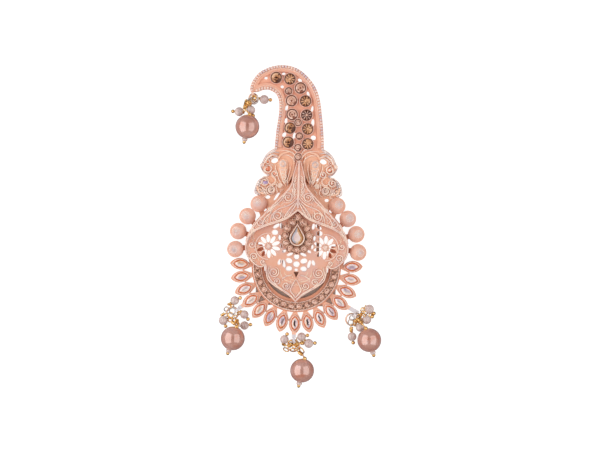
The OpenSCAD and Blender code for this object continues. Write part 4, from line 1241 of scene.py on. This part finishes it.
@dataclass
class Centre:
    """The raised setting in the middle: twelve small chatons with grains between them, round a teardrop stone."""

    cups: Line = (
        (0.0, 21.1), (2.3, 18.9), (4.3, 16.5), (5.0, 13.5), (4.7, 10.5), (3.0, 8.0), (0.0, 7.1), (-2.3, 18.9),
        (-4.3, 16.5), (-5.0, 13.5), (-4.7, 10.5), (-3.0, 8.0))
    drop_r: float = 2.45
    drop_tip: float = 4.9
    girdle: float = 1.3
    cup_floor: float = 0.62
    collar: float = 2.1
    collar_pale: float = 1.65  # height from which the setting is pale
    cups_y: float = 14.4  # the middle of the ring of cups
    claw_turns: Sequence[float] = (-90, -35, 35, 90)  # each cup's claws, from the side that looks outwards
    claw_out: float = 0.22  # how far they stand outside the stone
    claw_z: float = 1.45
    claw_r: float = 0.36
    rim: Flat = (0.55, 0.9)  # how much larger the rim is than the stone, at the round end and at the tip
    inner_rim: Flat = (0.12, 0.3)

    def drop(self, grow: float, tip_grow: float, z: float) -> list[list[Vector]]:
        """Draw the teardrop's outline with its tip up.

        Args:
            grow: how much its round end is grown, in mm.
            tip_grow: how much its tip is moved out, in mm.
            z: the height in mm.

        Returns:
            The one outline in a list.
        """
        radius, tip = self.drop_r + grow, self.drop_tip + tip_grow
        lean = math.degrees(math.acos(radius / tip))
        round_end = arc(0.0, DROP_Y, radius, 27, 90 + lean, 360 - 2 * lean)
        return [level([(0.0, DROP_Y + tip), *round_end], z)]

    def build(self) -> None:
        """Dress the setting and the teardrop, and set the chatons, grains and rims."""
        # the colour of the painted shade in the setting's joints and recesses
        hollow_shade_tone = "#a06a50"
        dress("centre_setting", SettingLacquer("setting_copper_lacquer", CENTRE_Z + self.collar_pale, hollow_shade_tone))
        dress("teardrop_stone", TeardropGlass("teardrop_milk_glass"))
        rows = [(x, y, Gem.BUTTON, 30.0 * i) for i, (x, y) in enumerate(self.cups)]
        stones = ChatonModel(SMALL_R, self.girdle - self.cup_floor, 5, 0.4).set_stones(rows, CENTRE_Z + self.girdle)
        settle_chatons("centre_chatons", stones, "centre_stones")
        places = []
        for x, y in self.cups:
            away = math.degrees(math.atan2(y - self.cups_y, x))
            for step in (heading(away + turn) * (SMALL_R + self.claw_out) for turn in self.claw_turns):
                places.append(spot(x + step.x, y + step.y, CENTRE_Z + self.claw_z))
        settle("centre_claws", strew(ball(self.claw_r, (1, 1, 1)), places), SettingLacquer("claw_lacquer", hollow_shade_tone=hollow_shade_tone))
        rim_z = CENTRE_Z + self.collar
        settle("teardrop_rim", wires(self.drop(*self.rim, rim_z), 0.2, closed=True), PALE)
        settle("centre_bezels", bezels([(x, y, SMALL_R) for x, y in self.cups], CENTRE_Z + self.girdle + 0.1), ROSY)
        settle("teardrop_inner_rim", wires(self.drop(*self.inner_rim, rim_z - 0.05), 0.14, closed=True),
               GlazedLine("inner_rim_lacquer", "#b9733f", "#8e5636"))


@dataclass
class Crescent:
    """The crescent's band of small chatons between two grained rims."""

    count: int = 16
    reach: float = 16.3
    claw_off: float = 0.95  # how far the claws stand from the middle of the band
    claw_z: float = 2.55
    claw_r: float = 0.52
    girdle_z: float = 2.66
    seat_z: float = 1.52
    rims: Rows = ((14.72, 76, 176, 188), (17.98, 92, 176, 188))  # each rim's radius, grains, start and sweep

    def build(self) -> None:
        """Set the chatons, the claws between them and the grains of the rims."""
        pitch = 180 / (self.count - 1)
        spots = arc(0.0, 0.0, self.reach, self.count, 180, 180)
        rows = [(x, y, Gem.BUTTON, 25.0 * i) for i, (x, y) in enumerate(spots)]
        stones = ChatonModel(SMALL_R, self.girdle_z - self.seat_z, 5, 0.4).set_stones(rows, self.girdle_z)
        settle_chatons("crescent_chatons", stones, "crescent_stones")
        claws = zip(*[arc(0.0, 0.0, self.reach + off, self.count - 1, 180 + pitch / 2, 180 - pitch)
                      for off in (-self.claw_off, self.claw_off)])
        places = [spot(*p, self.claw_z) for pair in claws for p in pair]
        settle("crescent_claws", strew(ball(self.claw_r, (1, 1, 0.9)), places), SettingLacquer("band_claw_lacquer"))
        grains = [spot(*p, RIM_Z) for row in self.rims for p in arc(0.0, 0.0, *row)]
        settle("crescent_rim_grains", strew(ball(0.36), grains), GlazedLine("rim_grain_enamel", "#fde4d6", "#eecbbc"))
        settle("crescent_bezels", bezels([(*p, SMALL_R) for p in spots], RELIEF_Z), ROSY)


@dataclass
class Fringe:
    """The fringe of fifteen pointed settings with milky stones."""

    count: int = 15
    pitch: float = 13.2
    reach: float = 23.4
    length: float = 6.8
    width: float = 4.0
    glass_less: Flat = (1.4, 1.1)  # how much shorter and narrower a stone is than its setting
    # growth in length and width, height and shift outwards of the bezels, the rims and the outer edges
    bezel: tuple[float, ...] = (-1.2, -0.92, 2.85, 0.0)
    rim: tuple[float, ...] = (-0.15, -0.15, 2.3, 0.1)
    edge: tuple[float, ...] = (0.42, 0.42, 1.75, 0.1)
    foot: int = 7  # points left out of each outer edge, by the crescent

    def ring(self, grow: float, widen: float, z: float, out: float, foot: int = 0) -> list[list[Vector]]:
        """Draw the outline of each setting.

        Args:
            grow: how much longer it is than the setting, in mm.
            widen: how much wider it is, in mm.
            z: the height in mm.
            out: how much further from the crescent it lies, in mm.
            foot: how many points are left out at each end of the outline.

        Returns:
            The outlines.
        """
        rings = []
        for i in range(self.count):
            turn = 270 + self.pitch * (i - (self.count - 1) / 2)
            middle = heading(turn) * (self.reach + out)
            outline = vesica(middle.x, middle.y, self.length + grow, self.width + widen, turn)
            rings.append(level(outline[foot:-foot] if foot else outline, z))
        return rings

    def build(self) -> None:
        """Dress the stones, and lay a bezel line, a pale rim and a mauve-grey outer edge line of painted shade round
        each.
        """
        glass = MilkGlass("marquise_milk_glass", self.pitch, self.reach, self.length - self.glass_less[0],
                          self.width - self.glass_less[1])
        for i in range(self.count):
            dress(f"marquise_{i + 1}", glass)
        settle("fringe_bezels", wires(self.ring(*self.bezel), 0.3, closed=True),
               GlazedLine("bezel_copper_lacquer", "#dc7030", "#c45c28"))
        settle("fringe_rims", wires(self.ring(*self.rim), 0.27, closed=True),
               GlazedLine("setting_rim_enamel", "#fcdac8", "#f2c8b4"))
        # painted shade: a mauve-grey line along each setting's outer edge
        settle("fringe_edges", wires(self.ring(*self.edge, self.foot), 0.17, taper=0.3),
               GlazedLine("fringe_edge_painted_shade", "#b98f96", "#8f6d78"))


@dataclass
class Domes:
    """The eight low domed studs, each with a rosette and arcs of grains on its outer half."""

    middles: Line = (
        (16.5, 26.4), (21.1, 21.1), (24.8, 14.7), (25.8, 7.1))
    ball_z: float = -1.12
    ball_r: float = 5.0
    edge_r: float = 3.2
    eye: float = 0.9
    eye_top: float = 3.93
    petal: float = 0.42  # how far the rosette's petals lie from the eye
    petal_turns: Sequence[int] = range(0, 360, 60)
    crisp: Rows = ((0.95, 9, 320), (1.5, 14, 335))  # reach, number and sweep of each arc of grains
    faint: Rows = ((2.1, 17, 240), (2.65, 20, 235))

    def arcs(self, rows: Rows, out: float, x: float, y: float) -> list[Matrix]:
        """Place the grains of some arcs on one stud.

        Args:
            rows: reach, number and sweep of each arc.
            out: the direction in which the stud's eye lies, in degrees.
            x: the stud's x in mm.
            y: the stud's y in mm.

        Returns:
            The grains' places.
        """
        eye, places = heading(out) * self.eye, []
        for reach, count, sweep in rows:
            for u, v in arc(eye.x, eye.y, reach, count, out - sweep / 2, sweep):
                if math.hypot(u, v) < self.edge_r:
                    places.append(spot(x + u, y + v, self.ball_z + math.sqrt(self.ball_r ** 2 - u * u - v * v)))
        return places

    def build(self) -> None:
        """Dress the studs and set their grains."""
        skin = CastEnamel("stud_stoving_enamel", "#f2bba2", "#f4c0aa", "#f8d2c2", 1.6, 4.2)
        crisp, faint, petals = [], [], []
        for side, word in zip(SIDES, ("right", "left")):
            for i, (x, y) in enumerate(self.middles):
                dress(f"dome_{word}_{i + 1}", skin)
                out = math.degrees(math.atan2(y - DROP_Y, side * x))
                crisp += self.arcs(self.crisp, out, side * x, y)
                faint += self.arcs(self.faint, out, side * x, y)
                for turn in self.petal_turns:
                    step = heading(out) * self.eye + heading(turn) * self.petal
                    petals.append(spot(side * x + step.x, y + step.y, self.eye_top)
                                  @ Matrix.Rotation(math.radians(turn), 4, "Z"))
        grain = GlazedLine("stud_grain_enamel", "#f8ebe4", "#dccdd0")
        settle("stud_grains", strew(ball(0.25), crisp), grain)
        settle("stud_soft_grains", strew(ball(0.24), faint), skin)
        settle("stud_rosettes", strew(ball(0.3, (1.2, 0.7, 0.6)), petals), grain)


@dataclass
class Pendants:
    """The four bunches of beads and pearls on jump rings, lying on the table."""

    names: tuple[str, ...] = ("tip", "left", "centre", "right")
    ring_z: float = 1.5
    rings: Rows = (  # eye x, eye y, direction, radius
        (-20.3, 72.6, -80, 1.8), (-24.35, -18.3, 217.6, 2.45), (-0.3, -30.35, 270, 2.45), (25.17, -19.1, 238, 2.45))
    pearls: Rows = (  # x, y, axis, angle on ring, knee x, y, z
        (-22.1, 58.6, -100, 198, -23.7, 66.0, 3.6), (-25.8, -30.3, -107, 268, -25.2, -24.3, 3.4),
        (3.6, -43.0, -101, -50, 3.4, -36.4, 3.4), (31.4, -29.5, -72, -4, 28.2, -22.7, 3.6))
    beads: Rows = (  # pendant, x, y, radius, axis, angle on ring
        (0, -15.4, 70.3, 1.9, -2, 0), (0, -25.8, 64.9, 1.9, 178, 222), (0, -20.9, 65.7, 1.85, -66, 250),
        (1, -25.5, -14.5, 1.8, 27, 108), (1, -30.1, -23.0, 1.9, -66, 185), (1, -21.3, -20.3, 1.75, -50, 8),
        (1, -21.1, -24.9, 1.8, 10, -62), (2, -4.2, -30.3, 1.8, 64, 180), (2, 3.0, -29.0, 1.8, 15, 64),
        (2, 6.1, -31.7, 1.9, 5, 22), (3, 31.2, -16.6, 1.9, -42, 16), (3, 30.2, -21.0, 1.9, 29, -26),
        (3, 27.5, -24.4, 1.8, -15, -64), (3, 24.2, -28.4, 1.85, -77, -95))
    gold_loops: Rows = (  # x, y, z, radius, lean, turn
        (-27.1, -22.7, 2.0, 0.96, 30, 20), (-24.4, -23.2, 2.4, 0.88, 40, 70), (-27.8, -16.1, 2.2, 0.56, 50, 10),
        (3.2, -34.7, 2.0, 1.35, 60, -50), (-3.4, -34.6, 1.6, 1.15, 58, 155), (0.2, -33.0, 2.2, 1.0, 40, 70),
        (31.9, -19.2, 2.0, 0.9, 40, 130), (28.4, -16.9, 2.0, 0.9, 30, 40), (29.0, -19.0, 2.6, 0.8, 50, 150),
        (-19.7, 71.0, 2.9, 0.95, 35, 20), (-19.5, 70.5, 3.3, 0.8, 50, 100), (-22.6, 67.9, 2.2, 0.8, 50, 70),
        (-27.0, -20.6, 2.3, 1.1, 35, 120), (-25.3, -21.4, 1.9, 1.0, 45, 30), (-23.6, -19.8, 1.8, 0.8, 50, 60),
        (-28.4, -21.6, 1.6, 0.7, 40, 0), (-26.4, -16.9, 1.7, 0.7, 40, 80), (-1.7, -31.4, 2.1, 0.9, 40, 20),
        (1.9, -33.5, 1.7, 0.8, 50, 110), (-0.6, -34.6, 1.8, 0.9, 45, 0), (4.6, -30.9, 1.7, 0.7, 45, 60),
        (27.0, -19.6, 2.0, 1.0, 40, 20), (25.4, -22.6, 1.6, 0.9, 45, 80), (27.9, -21.3, 2.9, 0.9, 50, 110),
        (29.6, -18.3, 1.9, 0.8, 40, 0), (32.6, -18.6, 1.8, 0.8, 45, 100), (-23.4, 66.6, 2.6, 0.7, 50, 20),
        (-22.0, 68.8, 2.9, 0.7, 40, 110))
    silver_loops: Rows = (
        (-28.9, -18.2, 1.7, 0.96, 25, 30), (-26.3, -18.9, 2.0, 1.36, 20, 110), (24.0, -20.4, 1.8, 1.1, 25, 40),
        (23.5, -22.3, 1.8, 1.2, 20, 80), (25.8, -18.9, 2.2, 0.9, 40, 10), (26.2, -19.6, 2.5, 0.7, 30, 60))
    thick_loops: Rows = (
        (-19.8, 70.1, 2.0, 1.75, 12, 0), (-19.4, 70.2, 2.6, 1.5, 22, 70), (-21.2, 69.5, 1.9, 1.2, 25, 40))
    coils: Rows = (  # start x, y, z, end x, y, z, radius
        (-2.3, -33.2, 1.3, -0.9, -31.9, 1.9, 0.7), (0.3, -32.9, 1.3, 1.7, -31.4, 1.9, 0.7),
        (2.7, -31.9, 1.6, 3.5, -31.1, 2.0, 0.6), (26.9, -20.4, 1.6, 25.0, -22.5, 1.9, 0.75),
        (23.9, -24.4, 1.6, 23.9, -26.6, 1.8, 0.5), (-24.4, 65.4, 2.2, -24.2, 64.1, 2.4, 0.55),
        (-21.5, 69.2, 2.0, -23.7, 66.7, 2.3, 0.6), (26.5, -21.0, 2.9, 27.6, -22.0, 2.9, 0.6))
    pearl_r: float = 5.0
    # each winding's distance from the jump ring's wire, its greatest length, its radius and its pitch
    bead_neck: tuple[float, ...] = (0.95, 2.3, 0.46, 0.42)
    pearl_neck: tuple[float, ...] = (1.2, 2.8, 0.52, 0.5)
    shortest: float = 0.5  # the shortest neck that has a winding
    winding_r: float = 0.21  # the wire's radius in the windings
    loop_r: float = 0.25  # and in the spare loops
    thick_r: float = 0.32
    bead_tail: float = 0.71  # how far the end balls lie outside the beads
    tail: float = 6.6  # how far the end balls lie from the pearls' middles
    knee: Flat = (5.2, 1.0)  # how far back and up from the pearls' middles their upper balls lie
    end_radii: Flat = (0.78, 0.75)  # of the balls at the beads and at the pearls' tails
    knee_r: float = 0.85
    spacer: Flat = (5.5, 1.2)  # how far the spacers lie from the pearls' middles, and their radius

    def off_ring(self, k: int, angle: float, off: float) -> Vector:
        """Give the place at an angle round a jump ring and a distance outside its wire, in mm."""
        x, y, turn, radius = self.rings[k]
        return Vector((x, y, self.ring_z)) + heading(turn) * radius + heading(angle) * (radius + off)

    def coil(self, start: Vector, end: Vector, radius: float, pitch: float) -> list[Vector]:
        """Wind a wire round the line from start to end, all in mm.

        Args:
            start: where the winding starts.
            end: where it ends.
            radius: the winding's radius.
            pitch: the distance from turn to turn.

        Returns:
            The winding's points, in metres.
        """
        length = (end - start).length
        turn = (end - start).to_track_quat("Z", "Y")
        steps = max(int(length / pitch * 12), 12)
        spiral = [start + turn @ (heading(30 * i) * radius + Vector((0, 0, length * i / steps)))
                  for i in range(steps + 1)]
        return [at(*point) for point in spiral]

    def windings(self) -> None:
        """Wind the wire's end round each neck between loop and bead, and lay the loose windings."""
        necks = [(k, angle, Vector((x, y, radius)) - heading(axis) * (radius + 0.3), self.bead_neck)
                 for k, x, y, radius, axis, angle in self.beads]
        necks += [(k, angle, Vector(knee), self.pearl_neck) for k, (_, _, _, angle, *knee) in enumerate(self.pearls)]
        paths = []
        for k, angle, head, (off, longest, radius, pitch) in necks:
            start = self.off_ring(k, angle, off)
            reach = (head - start).length
            if reach > self.shortest:
                paths.append(self.coil(start, start.lerp(head, min(1.0, longest / reach)), radius, pitch))
        paths += [self.coil(Vector(row[:3]), Vector(row[3:6]), row[6], self.bead_neck[-1]) for row in self.coils]
        settle("gold_windings", wires(paths, self.winding_r, round_steps=1), GOLD)

    def loops(self, name: str, rows: Rows, metal: Finish, radius: float) -> None:
        """Bend the spare loops of wire that lie round the jump rings.

        Args:
            name: the piece's name.
            rows: x, y, z, radius, lean and turn of each loop.
            metal: the plated finish.
            radius: the wire's radius in mm.
        """
        paths = []
        for x, y, z, reach, lean, turn in rows:
            tilt = Matrix.Rotation(math.radians(turn), 3, "Z") @ Matrix.Rotation(math.radians(lean), 3, "X")
            paths.append([at(*(Vector((x, y, z)) + tilt @ (heading(15 * i) * reach))) for i in range(24)])
        settle(name, wires(paths, radius, closed=True), metal)

    def ends(self) -> None:
        """Set the gold balls that end each pin and the lilac spacers under the pearls."""
        balls, spacers = [], []
        (bead_r, tail_r), (back, up), (off, size) = self.end_radii, self.knee, self.spacer
        for _, x, y, radius, axis, _ in self.beads:
            balls.append(spot(*(Vector((x, y, radius)) + heading(axis) * (radius + self.bead_tail)), bead_r))
        for x, y, axis, *_ in self.pearls:
            middle, way = Vector((x, y, self.pearl_r)), heading(axis)
            balls.append(spot(*(middle + way * self.tail), tail_r))
            balls.append(spot(*(middle - way * back + Vector((0, 0, up))), self.knee_r))
            spacers.append(spot(*(middle + way * off)) @ way.to_track_quat("Z", "Y").to_matrix().to_4x4()
                           @ Matrix.Scale(size, 4))
        settle("pin_end_balls", strew(ball(1.0, (1, 1, 0.98), 2), balls), GOLD)
        settle("pearl_spacers", strew(ball(1.0, (1, 1, 0.78), 2), spacers), LILAC)

    def build(self) -> None:
        """Dress the pendants' solids and build their pieces in order."""
        rose = PlatedWire("rose_gold_plate", "#f6d0b6", "#e6b08c", 0.25)
        parts = {"jump_ring": rose, "pearl": PearlLacquer("rosy_pearl_lacquer"), "pearl_pin": GOLD,
                 "small_beads": LILAC, "bead_pins": GOLD}
        for name in self.names:
            for part, finish in parts.items():
                dress(f"{name}_{part}", finish)
        self.windings()
        self.loops("gold_loops", self.gold_loops, GOLD, self.loop_r)
        self.loops("silver_loops", self.silver_loops, NICKEL, self.loop_r)
        self.loops("thick_loops", self.thick_loops, NICKEL, self.thick_r)
        self.ends()


@dataclass(frozen=True)
class SoftBox:
    """A soft box: its tilt from overhead in degrees, its reach and size in metres and its power in watts."""

    tilt: float
    reach: float
    width: float
    length: float
    power: float


@dataclass
class Studio:
    """The table, the soft lights and the camera over the ornament. Distances in metres."""

    view_middle: Flat = (-1.13, 0.58)  # the picture's middle in the part's frame, in mm
    view_width: float = 0.252
    camera_height: float = 1.0
    mean_height: float = 0.003  # of the ornament, where the view's width counts
    film: float = 36.0  # the camera's film width, in mm
    roll: float = 1.55  # how far the ornament leans clockwise in the photograph, in degrees
    boxes: tuple[SoftBox, ...] = (SoftBox(-48.0, 0.5, 0.6, 0.95, 2.85), SoftBox(42.0, 0.5, 0.56, 0.85, 1.8))
    sky: float = 0.53
    sheet_size: float = 4.0
    sheet_z: float = -0.0002

    def table(self) -> None:
        """Lay the light table's sheet under the ornament."""
        alone()
        bpy.ops.mesh.primitive_plane_add(size=self.sheet_size, location=(0, 0, self.sheet_z))
        sheet = bpy.context.object
        sheet.name = "table"
        sheet.visible_glossy = False
        sheet.data.materials.append(OpalSheet("opal_acrylic_sheet", 0.92).make())

    def lights(self) -> None:
        """Hang a soft box on each side of the ornament, under a ceiling that darkens overhead."""
        for box in self.boxes:
            alone()
            tilt = math.radians(box.tilt)
            place = Vector((math.sin(tilt) * box.reach, 0.0, math.cos(tilt) * box.reach))
            bpy.ops.object.light_add(type="AREA", location=place)
            lamp = bpy.context.object
            lamp.data.shape = "RECTANGLE"
            lamp.data.size, lamp.data.size_y = box.length, box.width
            lamp.data.energy = box.power
            lamp.rotation_euler = (-place).to_track_quat("-Z", "Y").to_euler()
        world = bpy.data.worlds.new("studio_room")
        bpy.context.scene.world = world
        world.use_nodes = True
        paint = Paint(world.node_tree)
        height = paint.add("SeparateXYZ", (paint.coordinates["Generated"],), "Z")
        rise = paint.add("MapRange", (height, -1.0, 1.0))
        tone = paint.add("ValToRGB", (rise,), stops=((0.0, "#a3949a"), (0.47, "#94858b"), (0.56, "#d3ccc8"),
                                                     (0.94, "#b4aba6"), (0.99, "#3c3432")))
        paint.feed(paint.tree.nodes["Background"], {"Color": tone, "Strength": self.sky})

    def camera(self) -> None:
        """Hang the camera straight over the picture's middle."""
        alone()
        x, y = self.view_middle
        bpy.ops.object.camera_add(location=(x * MM, y * MM, self.camera_height),
                                  rotation=(0, 0, math.radians(self.roll)))
        camera = bpy.context.object
        camera.data.sensor_width = self.film
        camera.data.lens = self.film * (self.camera_height - self.mean_height) / self.view_width
        camera.data.clip_start, camera.data.clip_end = 0.01, 20.0
        bpy.context.scene.camera = camera

    def build(self) -> None:
        """Set up the studio."""
        self.table()
        self.lights()
        self.camera()
        bpy.context.scene.view_settings.view_transform = "Standard"


def main() -> None:
    """Dress the ornament and build its pieces in order."""
    logging.basicConfig(level=logging.INFO, format="%(message)s")
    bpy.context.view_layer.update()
    dress("frame", CastEnamel("frame_stoving_enamel", "#eaa787", "#f0b39a", "#fadccd", 1.5, 2.85, plate=True))
    dress("back_pin", PlatedWire("browned_steel_pin", "#d2b8a4", "#a88d7c", 0.5))
    for assembly in (Plume, Shoulders, Domes, Crescent, Fringe, Trefoil, Centre, Leaf, Pendants, Studio):
        assembly().build()
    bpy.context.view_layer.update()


if __name__ == "__main__":
    main()
